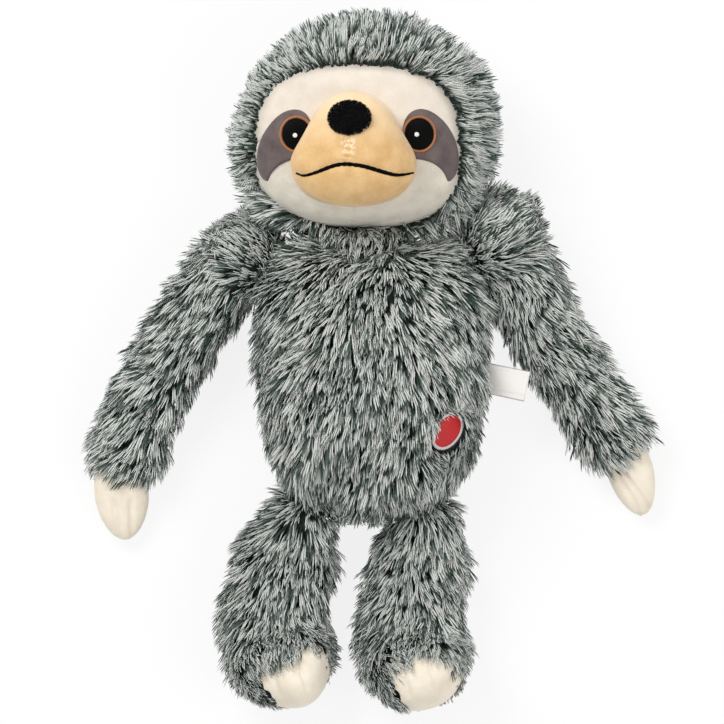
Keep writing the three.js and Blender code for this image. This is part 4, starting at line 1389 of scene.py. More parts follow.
@dataclass
class Workshop:
    """What every part shares: the finishes, the fur and the way of stuffing."""

    finishes: Finishes
    fur: Pile
    pad: Padding = field(default_factory=Padding)
    pleats: int = 16
    pleat_height: float = 0.32
    seam_margin: float = 0.4

    def gathered_seam(self, node: str, pivot: Place, body: str) -> None:
        """Makes a gathered dish of backing cloth where a limb is sewn on.

        Args:
            node: The CAD node that it stands for, whose place and size it keeps.
            pivot: Centre of the limb's round root.
            body: The body between the torso and the limb.
        """
        low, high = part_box(node)
        centre = np.array(pivot)
        corners = np.array([v.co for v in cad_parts[node].data.vertices], float) / MM - centre
        middle = unit(corners.mean(0)[None])[0]
        far = np.linalg.norm(corners, axis=1)
        spread = float(np.arccos(np.clip(unit(corners) @ middle, -1, 1)).max())
        side = unit(np.cross(middle, [0.0, 0.0, 1.0])[None])[0]
        lift = np.cross(side, middle)
        radius, angle = polar(9, 96)
        pleat = self.pleat_height * np.sin(angle * self.pleats) * smooth_step(radius, 0.2, 1.0)
        tilt = radius * spread * 0.98

        def dish(distance: float) -> Array:
            """Gives the dish's grid at a distance from the pivot."""
            out = (distance + pleat)[..., None]
            ring = np.cos(angle)[..., None] * side + np.sin(angle)[..., None] * lift
            return centre + out * (
                np.cos(tilt)[..., None] * middle + np.sin(tilt)[..., None] * ring
            )

        name = node.replace("seam", "gather")
        outer, inner = far.max() - self.seam_margin, far.min() + self.seam_margin
        made = slab(name, dish(outer), dish(inner), closed=True)
        finish_piece(made, self.finishes.backing, body)
        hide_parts(node)
        LOG.info("%s: %.0f mm wide", name, 1e3 * max(high - low))


@dataclass
class Torso:
    """The furry body with its badge, its care label and the squeaker inside."""

    shop: Workshop
    combing: Combing = Combing(10, swirl=40.0, wave=14.0)
    front_tufts: int = 3500
    back_tufts: int = 2500
    front_level: float = 36.0
    neck_half: Pair = (8.0, 24.0)
    neck_parting: Pair = (43.0, 57.0)
    neck_rise: Pair = (46.0, 60.0)
    chest: Pair = (10.0, 50.0)
    corner_height: Pair = (44.0, 54.0)
    corner_width: Pair = (18.0, 28.0)
    badge: Oval = Oval(35.7, -31.3, 6.3, 9.7, tilt=-34.0)
    badge_height: float = 0.5
    badge_thickness: float = 1.6
    badge_puff: float = 0.7
    cloth_sink: float = 0.9
    rim_share: float = 0.93
    rim_roll: float = 0.085
    rim_stitches: int = 30
    label_hinge: Place = (53.464, -6.0, 36.5)
    label_size: Pair = (20.5, 14.5)
    label_slope: float = -12.0
    label_half: float = 0.3

    def build(self) -> None:
        """Makes every piece that rides on the torso."""
        skin = padded_skin("torso_cloth", TORSO, None, self.shop.pad)
        self.raise_cloth(skin)
        finish_piece(skin, self.shop.finishes.backing, "torso")
        self.grow(skin)
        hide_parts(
            "torso_front_panel",
            "torso_back_panel",
            "torso_stuffing_front",
            "torso_stuffing_back",
        )
        self.sew_badge()
        self.sew_label()
        for node in ("squeaker_bulb", "squeaker_reed"):
            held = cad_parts[node]
            held.data.materials.clear()
            held.data.materials.append(self.shop.finishes.plastic)

    def raise_cloth(self, skin: Object) -> None:
        """Raises the cloth to the badge, which is sewn down on it."""
        points = points_of(skin)
        x, y, z = points.T
        held = (1 - smooth_step(self.badge.share(x, y), 0.9, 1.7)) * (z > self.front_level)
        level = front_of(TORSO, x, y, 0.0) + self.badge_height - self.cloth_sink
        points[:, 2] += held * (level - z)
        move_points(skin, points)

    def grow(self, skin: Object) -> None:
        """Grows the front's and the back's fur, combed down to the legs."""
        points = points_of(skin)
        x, y, z = points.T
        comb = self.combing.ruffle(np.zeros_like(points), points)
        # Under the chin the strands stand up and meet; at the shoulders they part upwards
        middle = 1 - smooth_step(np.abs(x), *self.neck_half)
        comb[:, 1] += 2 * smooth_step(y, *self.neck_parting) * (1 - middle) - 1
        comb[:, 0] += (0.5 + 0.6 * smooth_step(y, *self.chest)) * x / TORSO.half_width
        comb[:, 2] += 1.6 * smooth_step(y, *self.neck_rise) * middle
        share = self.badge.share(x, y)
        on_front = z > self.front_level
        planted = under_share(skin)
        planted[(share < 1.0) & on_front] = 0
        hidden = [(HEAD, 0.66), *((ARMS[side].form(side), 0.66) for side in Side)]
        hidden += [(LEGS[side].form(side), 0.75) for side in Side]
        for form, reach in hidden:
            planted[form.fill(points, FUR_INSET) < reach] = 0
        # Short close strands round the badge, long ones at the neck's corners
        near = 1 - smooth_step(share, 1.1, 2.3)
        corner = smooth_step(y, *self.corner_height) * smooth_step(np.abs(x), *self.corner_width)
        grow = 1.0 + 0.12 * self.combing.uneven(points, 24) - 0.55 * near * on_front
        planted *= 1 + 0.8 * near
        grow += 0.45 * corner
        planted *= 1 + 2.0 * corner
        for name, half, count, seed in (
            ("torso_fur_front", 1, self.front_tufts, SEED + 15),
            ("torso_fur_back", -1, self.back_tufts, SEED + 14),
        ):
            kept = keep_half(planted, half * (z - TORSO_LEVEL))
            fur = self.shop.fur.plant(name, skin, comb, kept, grow, count, seed)
            finish_piece(fur, self.shop.finishes.pile, "torso")

    def sew_badge(self) -> None:
        """Makes the plain red oval and its pale rim, sewn down into the fur."""
        x, y, radius = self.badge.grid(12, 72)
        level = front_of(TORSO, x, y, 0.0) + self.badge_height
        low = np.stack([x, y, level - self.badge_thickness], -1)
        top = np.stack([x, y, level + self.badge_puff * (1 - radius**4)], -1)
        oval = slab("belly_badge", top, low, closed=True)
        finish_piece(oval, self.shop.finishes.red, "torso")
        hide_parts("belly_label")
        angles = round_angles(96)
        stitched = 0.12 * np.sin(angles * self.rim_stitches)
        rows = []
        for turn in np.linspace(0, 2 * math.pi, 10, endpoint=False):
            share = self.rim_share + self.rim_roll * math.cos(turn)
            x, y = self.badge.at(np.full(96, share), angles)
            level = front_of(TORSO, x, y, 0.0) + self.badge_height + 0.4
            rows.append(np.stack([x, y, level + (self.badge_puff + stitched) * math.sin(turn)], -1))
        rows.append(rows[0])
        rim = mesh_object("belly_badge_rim", np.vstack(rows), grid_faces(len(rows), 96))
        weld(rim)
        finish_piece(rim, self.shop.finishes.rim, "torso")

    def sew_label(self) -> None:
        """Makes the blank satin care label, a folded strip held in the side seam."""
        length, width = self.label_size
        turn = math.radians(self.label_slope)
        out = np.array([math.cos(turn), math.sin(turn), 0])
        across = np.array([-math.sin(turn), math.cos(turn), 0])
        u = np.linspace(-0.06, 1, 34)[:, None] * np.ones((1, 20))
        v = np.ones((34, 1)) * np.linspace(-0.5, 0.5, 20)[None]
        lift = 1.1 * np.sin(u * 2.6) + 0.35 * np.sin(v * 5 + u * 3)
        # The pressed fold near the lower edge of the strip
        lift = lift - 0.45 * np.exp(-(((v + 0.36) / 0.03) ** 2))
        place = np.array(self.label_hinge) + out * (u * length)[..., None]
        place = place + across * (v * width)[..., None]
        top, under = place.copy(), place.copy()
        edge = np.minimum(1, (0.5 - np.abs(v)) * 30)
        top[..., 2] += lift + self.label_half * edge
        under[..., 2] += lift - self.label_half * edge
        label = slab("care_label_satin", top, under)
        finish_piece(label, self.shop.finishes.satin, "label")
        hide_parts("care_label")


@dataclass
class Head:
    """The furry head with its short-pile face, eyes, muzzle, nose and mouth."""

    shop: Workshop
    combing: Combing = Combing(20, swirl=36.0, swirl_share=0.16, wave=13.0, wave_share=0.12)
    half_tufts: int = 3150
    root_radius: float = 20.0
    comb_source: Place = (-7.2, 108.0, 96.0)
    front_level: float = 45.0
    neck_x: float = -4.0
    seam_height: float = 105.55
    panel_thickness: float = 2.0
    dimple: Pair = (30.6, 88.2)
    dimple_width: float = 2.4
    fold: Pair = (33.5, 85.5)
    crease_x: float = -9.4
    patch_length: float = 18.9
    patch_width: float = 11.9
    eye_across: float = 29.0
    eye_rise: float = 6.4
    eye_width: float = 6.7
    eye_height: float = 7.4
    ring_width: float = 1.3
    glint_radius: float = 1.1
    pucker: Pair = (-11.4, 100.0)
    pucker_depth: float = 1.2
    pleat_pitch: float = 2.9
    pleat_height: float = 0.75
    mouth_depth: float = 0.9
    mouth_ends: Pair = (-35.6, 19.5)
    mouth_stitches: int = 140
    muzzle_top: float = 110.9
    nose: Oval = Oval(-10.6, 116.3, 9.5, 7.8)
    nose_depth: float = 5.6
    nose_height: float = 106.6
    nose_tilt: float = -24.0
    nose_tufts: int = 1900
    surface: BVHTree | None = None

    def build(self) -> None:
        """Makes every piece that rides on the head."""
        skin = padded_skin("head_cloth", HEAD, (NECK_PIVOT, self.root_radius), self.shop.pad)
        self.sink_face(skin)
        finish_piece(skin, self.shop.finishes.backing, "head")
        self.grow(skin)
        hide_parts("head_cover_left", "head_cover_right", "head_stuffing")
        self.sew_panels()
        for side in Side:
            self.sew_eye(side)
        self.sew_muzzle()
        self.sew_nose()
        self.sew_mouth()

    def sink_face(self, skin: Object) -> None:
        """Keeps the head's cloth under the face panels."""
        points = points_of(skin)
        x, y, z = points.T
        front = (z > self.front_level) & (FACE.share(x, y) < 1.02)
        ceiling = front_of(HEAD, x, y, COVER_INSET + 2.0)
        points[front, 2] = np.minimum(z, ceiling)[front]
        move_points(skin, points)

    def grow(self, skin: Object) -> None:
        """Grows each half's fur, combed away from the face."""
        points = points_of(skin)
        x, y, z = points.T
        comb = self.combing.ruffle(unit(points - np.array(self.comb_source)), points)
        comb[:, 1] -= 1.2 * smooth_step(45 - z, 0, 40)
        off_neck = np.abs(x - self.neck_x)
        comb[:, 2] += 1.8 * smooth_step(72 - y, 0, 6) * (1 - smooth_step(off_neck, 12, 28))
        share = FACE.share(x, y)
        planted = under_share(skin)
        planted[(z > self.front_level) & (share < 0.93)] = 0
        planted[TORSO.fill(points, FUR_INSET) < 0.7] = 0
        # Shorter round the face, longer and closer at the neck's corners, shorter top right
        rim = (1 - smooth_step(share, 1.0, 1.3)) * (z > self.front_level)
        low = smooth_step(90 - y, 0, 14) * smooth_step(off_neck, 20, 34)
        wide = smooth_step(y, 96, 120) * smooth_step(-x, 10, 34)
        grow = 1.0 + 0.1 * self.combing.uneven(points, 24) - 0.12 * rim + 0.25 * low - 0.24 * wide
        planted = planted * (1 + 0.3 * rim + 1.2 * low)
        for side in Side:
            kept = keep_half(planted, side.sign * (x - HEAD_X))
            name, seed = f"head_fur_{side.value}", SEED + side.sign
            fur = self.shop.fur.plant(name, skin, comb, kept, grow, self.half_tufts, seed)
            finish_piece(fur, self.shop.finishes.pile, "head")

    def half_panel(self, name: str, angles: Array) -> Object:
        """Makes the part of the face panel on one side of the seam.

        Args:
            name: Name of the piece.
            angles: Directions that it covers, from a point on the seam.

        Returns:
            The panel, its outer edge tucked in and its seam edge rolled under.
        """
        reach = np.linspace(0, 60, 600)
        edge = [
            np.interp(
                1.0,
                FACE.share(
                    FACE.x + reach * math.cos(angle), self.seam_height + reach * math.sin(angle)
                ),
                reach,
            )
            for angle in angles
        ]
        radius = np.linspace(0, 1.035, 56)[:, None]
        x = FACE.x + radius * (np.array(edge) * np.cos(angles))[None]
        y = self.seam_height + radius * (np.array(edge) * np.sin(angles))[None]
        gap = y - self.seam_height
        height = front_of(HEAD, x, y, PANEL_INSET)
        height -= 4.2 * smooth_step(FACE.share(x, y), 0.9, 1.035) ** 1.5
        height -= 1.2 * hump(gap, 1.1)
        waves = drift(np.stack([x, y, 0 * x], -1).reshape(-1, 3), 16, 31)[:, 0]
        height += 0.25 * waves.reshape(x.shape)
        # A stitch draws the cheek in, with a fold running from it
        pinch = np.hypot(x - self.dimple[0], y - self.dimple[1])
        rings = 0.6 + 0.4 * np.cos(pinch * 2.4)
        height -= 1.5 * hump(pinch, self.dimple_width) * rings
        fold = (x - self.fold[0]) * 0.8 + (y - self.fold[1]) * 0.6
        height -= 0.9 * hump(fold, 0.8) * hump(pinch, 6.5)
        top = np.stack([x, y + 0.12 * np.sign(gap), height], -1)
        return slab(name, top, top - [0, 0, self.panel_thickness])

    def sew_panels(self) -> None:
        """Makes the forehead and the cheek-and-chin panel."""
        upper = self.half_panel("forehead_pile", np.linspace(0, math.pi, 121))
        finish_piece(upper, self.shop.finishes.face, "head")
        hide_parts("forehead_panel")
        lower = self.half_panel("chin_pile", np.linspace(math.pi, 2 * math.pi, 121))
        points = points_of(lower)
        crease = hump(points[:, 0] - self.crease_x, 0.9) * smooth_step(78 - points[:, 1], 0, 4)
        points[:, 2] -= 0.8 * crease
        move_points(lower, points)
        finish_piece(lower, self.shop.finishes.cheek, "head")
        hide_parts("chin_panel")

    def patch(self, side: Side) -> Oval:
        """Gives an eye patch's outline."""
        x = FACE.x + 34.4 * side.sign
        return Oval(x, FACE.y + 0.6, self.patch_length, self.patch_width, tilt=-65.0 * side.sign)

    def cheek(self, side: Side) -> Oval:
        """Gives the part of the cheek that is sewn over the eye patch."""
        return Oval(FACE.x + 27.8 * side.sign, FACE.y - 16.6, 14.4, 11.2)

    def relief(self, side: Side, x: Array, y: Array) -> Array:
        """Gives the height of an eye patch's surface."""
        share = np.minimum(self.patch(side).share(x, y), 1)
        return front_of(HEAD, x, y, PANEL_INSET) + 0.25 + 1.5 * np.sqrt(1 - share**3)

    def disc(
        self, name: str, side: Side, oval: Oval, base: float, crown: float, inner: float = 0.0
    ) -> Object:
        """Makes a raised piece that follows the eye patch.

        Args:
            name: Name of the piece.
            side: The eye's side.
            oval: Its outline.
            base: Height of its foot above the patch.
            crown: How far its middle rises above its edge.
            inner: Where it starts, as a share of its radius.

        Returns:
            The piece.
        """
        x, y, radius = oval.grid(14, 72, inner)
        share = (radius - inner) / (1 - inner)
        swell = 1 - share**2 if inner == 0 else np.sin(share * math.pi)
        level = self.relief(side, x, y)
        top = np.stack([x, y, level + base + crown * np.sqrt(np.maximum(swell, 0))], -1)
        return slab(name, top, np.stack([x, y, level - 0.5], -1), closed=True)

    def sew_eye(self, side: Side) -> None:
        """Makes one eye: its grey patch, pupil, ring and glint."""
        finishes = self.shop.finishes
        x, y, radius = self.patch(side).grid(22, 96)
        height = self.relief(side, x, y) - 0.5 * smooth_step(radius, 0.93, 1.0)
        height -= 3.2 * (1 - smooth_step(self.cheek(side).share(x, y), 0.93, 1.03))
        under = np.minimum(front_of(HEAD, x, y, FUR_INSET), height - 0.6)
        top, low = np.stack([x, y, height], -1), np.stack([x, y, under], -1)
        patch = slab(f"eye_patch_{side.value}_pile", top, low, closed=True)
        finish_piece(patch, finishes.grey, "head")
        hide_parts(f"eye_patch_{side.value}")
        eye_x, eye_y = FACE.x + self.eye_across * side.sign, FACE.y + self.eye_rise
        wide, high = self.eye_width + self.ring_width, self.eye_height + self.ring_width
        pupil = Oval(eye_x, eye_y, self.eye_width, self.eye_height)
        ring = Oval(eye_x, eye_y, wide, high)
        shift = (-1.2, -0.2) if side is Side.LEFT else (-0.6, -0.6)
        glint = Oval(eye_x + shift[0], eye_y + shift[1], self.glint_radius, self.glint_radius)
        for key, oval, base, crown, inner, finish, slot in (
            ("pupil", pupil, 0.35, 0.5, 0.0, finishes.black, "black_thread"),
            ("ring", ring, 0.25, 0.45, 0.88, finishes.orange, "orange_thread"),
            ("glint", glint, 0.9, 0.25, 0.0, finishes.white, "white_thread"),
        ):
            made = self.disc(f"eye_{key}_{side.value}_thread", side, oval, base, crown, inner)
            finish_piece(made, finish, "head")
            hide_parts(f"eye_{key}_{side.value}")

    def muzzle_shape(self, points: Array) -> Array:
        """Narrows the muzzle at the eyes and under the mouth, as it is cut.

        Args:
            points: Points of the round muzzle.

        Returns:
            The points, moved sideways and at the chin downwards.
        """
        moved = points.copy()
        middle, centre, _ = MUZZLE.path[0]
        reach = MUZZLE.half_depth
        up = np.clip((points[:, 1] - centre) / reach, -1, 1)
        moved[:, 1] -= 2.2 * np.maximum(-up, 0)
        moved[:, 1] += 0.8 * np.maximum(up, 0)
        heights, widths = np.array(MUZZLE_CUT).T
        full = MUZZLE.half_width * (1 - np.abs(up) ** MUZZLE.squareness) ** (1 / MUZZLE.squareness)
        share = np.interp(moved[:, 1], heights, widths) / np.maximum(full, 4.0)
        moved[:, 0] = middle + (points[:, 0] - middle) * np.clip(share, 0.7, 1.4)
        return moved

    def sew_muzzle(self) -> None:
        """Makes the padded muzzle with its puckered seam under the nose."""
        muzzle = MUZZLE.loft("muzzle_pile", 0.3, 48, 36)
        move_points(muzzle, self.muzzle_shape(points_of(muzzle)))
        pad = Padding(voxel=2.4, smoothing=6, cap=1.4, levels=2)
        pad.stuff(muzzle, lambda points: np.abs(points[:, 0] + 11) < 1.6)
        points = points_of(muzzle)
        x, y, z = points.T
        front = smooth_step(z, 78, 92)
        below = smooth_step(112 - y, 0, 3) * smooth_step(y, 94, 97)
        away = x - self.pucker[0] - 0.05 * (y - self.pucker[1])
        ruck = 0.5 + 0.5 * drift(points, 5, 71)[:, 0]
        pleat = np.sin(y * 2 * math.pi / self.pleat_pitch + 1.2 * away * ruck)
        points[:, 2] -= front * below * self.pucker_depth * hump(away, 1.2)
        points[:, 2] += front * below * self.pleat_height * pleat * hump(away, 3.4)
        held = smooth_step(34 - np.abs(away), 0, 4)
        points[:, 2] -= self.mouth_depth * front * hump(y - self.mouth_line(x), 2.2) * held
        points[:, 2] = np.minimum(points[:, 2], self.muzzle_top)
        move_points(muzzle, points)
        finish_piece(muzzle, self.shop.finishes.tan, "head")
        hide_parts("muzzle_left", "muzzle_right", "muzzle_stuffing")
        self.surface = BVHTree.FromPolygons(
            [Vector(p) for p in points], [tuple(f.vertices) for f in muzzle.data.polygons]
        )

    def on_muzzle(self, x: float, y: float) -> tuple[Array, Array]:
        """Finds the muzzle's surface below a place, and its normal."""
        hit, normal, _, _ = self.surface.ray_cast(Vector((x, y, 140)), Vector((0, 0, -1)))
        if hit is None:
            hit, normal, _, _ = self.surface.find_nearest(Vector((x, y, 85)))
        return np.array(hit), np.array(normal)

    def mouth_line(self, x: Array | float) -> Array:
        """Gives the height of the mouth line at a place across."""
        line = through(np.array(MOUTH_STOPS))
        return np.interp(x, line[:, 0], line[:, 1])

    def sew_nose(self) -> None:
        """Makes the black plush nose and its dense short fuzz."""
        tilt = math.radians(self.nose_tilt)
        centre = np.array([self.nose.x, self.nose.y, self.nose_height])
        form = ball("nose_plush", np.zeros(3), 1.0)
        sizes = [self.nose.half_width, self.nose.half_height, self.nose_depth]
        x, y, z = (points_of(form) * sizes).T
        ahead = y * math.cos(tilt) - z * math.sin(tilt)
        rise = y * math.sin(tilt) + z * math.cos(tilt)
        move_points(form, np.stack([x, ahead, rise], 1) + centre)
        finish_piece(form, self.shop.finishes.nose, "head")
        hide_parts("nose")
        fuzz = Pile(
            self.shop.finishes.nose_pile,
            length=1.5,
            width=0.22,
            leans=(4.0, 12.0, 20.0, 28.0, 38.0, 50.0),
            jitter=0.5,
        )
        points = points_of(form)
        comb = unit(points - centre) * 0.2 + [0, -1, 0] + drift(points, 5, 41) * 0.6
        planted = smooth_step(points[:, 2], centre[2] - 5, centre[2] - 2)
        even = np.ones(len(points))
        made = fuzz.plant("nose_fuzz", form, comb, planted, even, self.nose_tufts, SEED)
        finish_piece(made, self.shop.finishes.nose_pile, "head")

    def sew_mouth(self) -> None:
        """Stitches the mouth line across the muzzle, one thread beside the other."""
        left, right = self.mouth_ends
        places, ways, lengths = [], [], []
        for at in np.linspace(left, right, self.mouth_stitches):
            place, normal = self.on_muzzle(at, float(self.mouth_line(at)))
            slope = float(self.mouth_line(at + 0.1) - self.mouth_line(at))
            across = np.cross(normal, unit(np.array([0.1, slope, 0.0])))
            places.append(place + normal * 0.12)
            ways.append(unit(across))
            uneven = 0.08 * math.sin(at * 5.1) + 0.06 * math.sin(at * 2.3)
            # Thin at its ends, a little heavier on the toy's left
            heavy = 0.1 * float(smooth_step(np.array(at), -20, 5))
            lengths.append(0.5 + 0.4 * min(1.0, min(at - left, right - at) / 14) + heavy + uneven)
        thread = Thread(self.shop.finishes.black)
        made = thread.stitch("mouth_thread", places, ways, lengths)
        finish_piece(made, self.shop.finishes.black, "head")
        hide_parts("mouth_stitching")


@dataclass
class Thread:
    """Satin stitches: short rounded threads laid side by side."""

    finish: Material
    length: float = 2.2
    width: float = 0.62
    height: float = 0.42
    tip: float = 0.5

    def shape(self) -> Object:
        """Makes one stitch along X."""
        path = np.linspace([-self.length / 2, 0, 0], [self.length / 2, 0, 0], 12)
        made = rounded(path, (self.width / 2, self.height / 2), self.tip).loft("stitch", 0.0, 8, 8)
        bpy.context.scene.collection.objects.unlink(made)
        return made

    def stitch(
        self, name: str, places: list[Array], ways: list[Array], lengths: list[float]
    ) -> Object:
        """Lays a stitch at each place.

        Args:
            name: Name of the piece.
            places: Middle of each stitch, in millimetres.
            ways: Direction of each stitch.
            lengths: Share of the full length of each stitch.

        Returns:
            The stitches, as a plain mesh.
        """
        made = mesh_object(name, np.array(places), [])
        mark(made, {"way": np.array(ways), "share": np.array(lengths)})
        use_tree(made, self.tree(), {"Thread": self.shape(), "Finish": self.finish})
        return made

    def tree(self) -> NodeTree:
        """Builds the node tree that lays the stitches."""
        sockets = {"Line": "Geometry", "Thread": "Object", "Finish": "Material"}
        tree, add, given = new_tree("stitches", sockets, "Stitches")
        way, share = (
            add("GeometryNodeInputNamedAttribute", {"Name": name}, data_type=kind)
            for name, kind in (("way", "FLOAT_VECTOR"), ("share", "FLOAT"))
        )
        dots = add("GeometryNodeMeshToPoints", {"Mesh": (given, "Line")})
        turn = add("FunctionNodeAlignRotationToVector", {"Vector": way}, axis="X")
        size = add("ShaderNodeCombineXYZ", {"X": share, "Y": 1.0, "Z": 1.0})
        thread = add("GeometryNodeObjectInfo", {"Object": (given, "Thread")})
        stitch = {"Points": dots, "Instance": (thread, "Geometry"), "Rotation": turn, "Scale": size}
        laid = add("GeometryNodeInstanceOnPoints", stitch)
        close_tree(add, add("GeometryNodeRealizeInstances", {"Geometry": laid}), given)
        return tree


@dataclass
class Arm:
    """A furry arm and its short-pile hand."""

    shop: Workshop
    side: Side
    shoulder_growth: float
    finger_lines: tuple[tuple[float, float, float, float], ...]
    combing: Combing = Combing(50)
    tufts: int = 2500
    root_radius: float = 20.0
    root_end: float = 20.0
    parting: Place = (0.0, 8.0, -30.0)
    fall: Pair = (18.0, 50.0)
    cuff: Pair = (22.0, 4.0)
    line_width: float = 1.1
    line_depth: float = 1.5
    hand_floor: float = 0.8
    hand_pad: Padding = Padding(voxel=1.8, smoothing=5, cap=1.0)

    def build(self) -> None:
        """Makes the arm's and the hand's pieces."""
        sizes, side = ARMS[self.side], self.side.value
        form = sizes.form(self.side)
        skin = padded_skin(
            f"arm_cloth_{side}", form, (sizes.pivot, self.root_radius), self.shop.pad
        )
        finish_piece(skin, self.shop.finishes.backing, f"arm_{side}")
        points = points_of(skin)
        along, across, _ = form.local(points)
        comb = self.combing.ruffle(form.frame_at(along)[3], points)
        outer = np.clip(self.side.sign * across / 15, -1, 1)
        comb[:, 0] += self.side.sign * (0.3 + 0.3 * outer) * smooth_step(along, *self.fall)
        # At its root the coat fans out from a parting under the neck
        root = 1 - smooth_step(along, -2, self.root_end)
        away = unit(points - np.array(self.parting))
        comb = comb * (1 - root)[:, None] + away * 1.4 * root[:, None]
        planted = under_share(skin)
        planted[TORSO.fill(points, FUR_INSET) < 0.66] = 0
        planted *= 1 + 0.8 * root
        cuff = smooth_step(along, *(form.length - reach for reach in self.cuff))
        shoulder = self.shoulder_growth * root
        grow = 0.98 + 0.1 * self.combing.uneven(points, 20) - 0.2 * cuff + shoulder
        name, seed = f"arm_fur_{side}", SEED + 5 + self.side.sign
        fur = self.shop.fur.plant(name, skin, comb, planted, grow, self.tufts, seed)
        finish_piece(fur, self.shop.finishes.pile, f"arm_{side}")
        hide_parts(f"arm_cover_{side}", f"arm_stuffing_{side}")
        self.sew_hand(sizes.hand(self.side))

    def sew_hand(self, form: SoftForm) -> None:
        """Makes the hand, with its finger lines stitched through."""
        side = self.side.value
        hand = form.loft(f"hand_{side}_pile", 1.0, 40, 28)
        self.hand_pad.stuff(hand, lambda points: np.abs(form.local(points)[2]) < 1.0)
        points = points_of(hand)
        along, across, rise = form.local(points)
        lift = form.frame_at(along)[2]
        upper = smooth_step(rise, 0, 3) - smooth_step(-rise, 0, 3)
        share = along / form.length
        for start, end, start_across, end_across in self.finger_lines:
            reach = np.clip((share - start) / (end - start), 0, 1)
            line = start_across + (end_across - start_across) * reach
            held = smooth_step(share, start - 0.05, start + 0.1)
            groove = hump(across - line, self.line_width) * held
            points -= lift * (self.line_depth * groove * upper)[:, None]
        points[:, 2] = np.maximum(points[:, 2], self.hand_floor)
        move_points(hand, points)
        finish_piece(hand, self.shop.finishes.cream, f"hand_{side}")
        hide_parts(*(f"hand_{part}_{side}" for part in ("front", "back", "stuffing")))


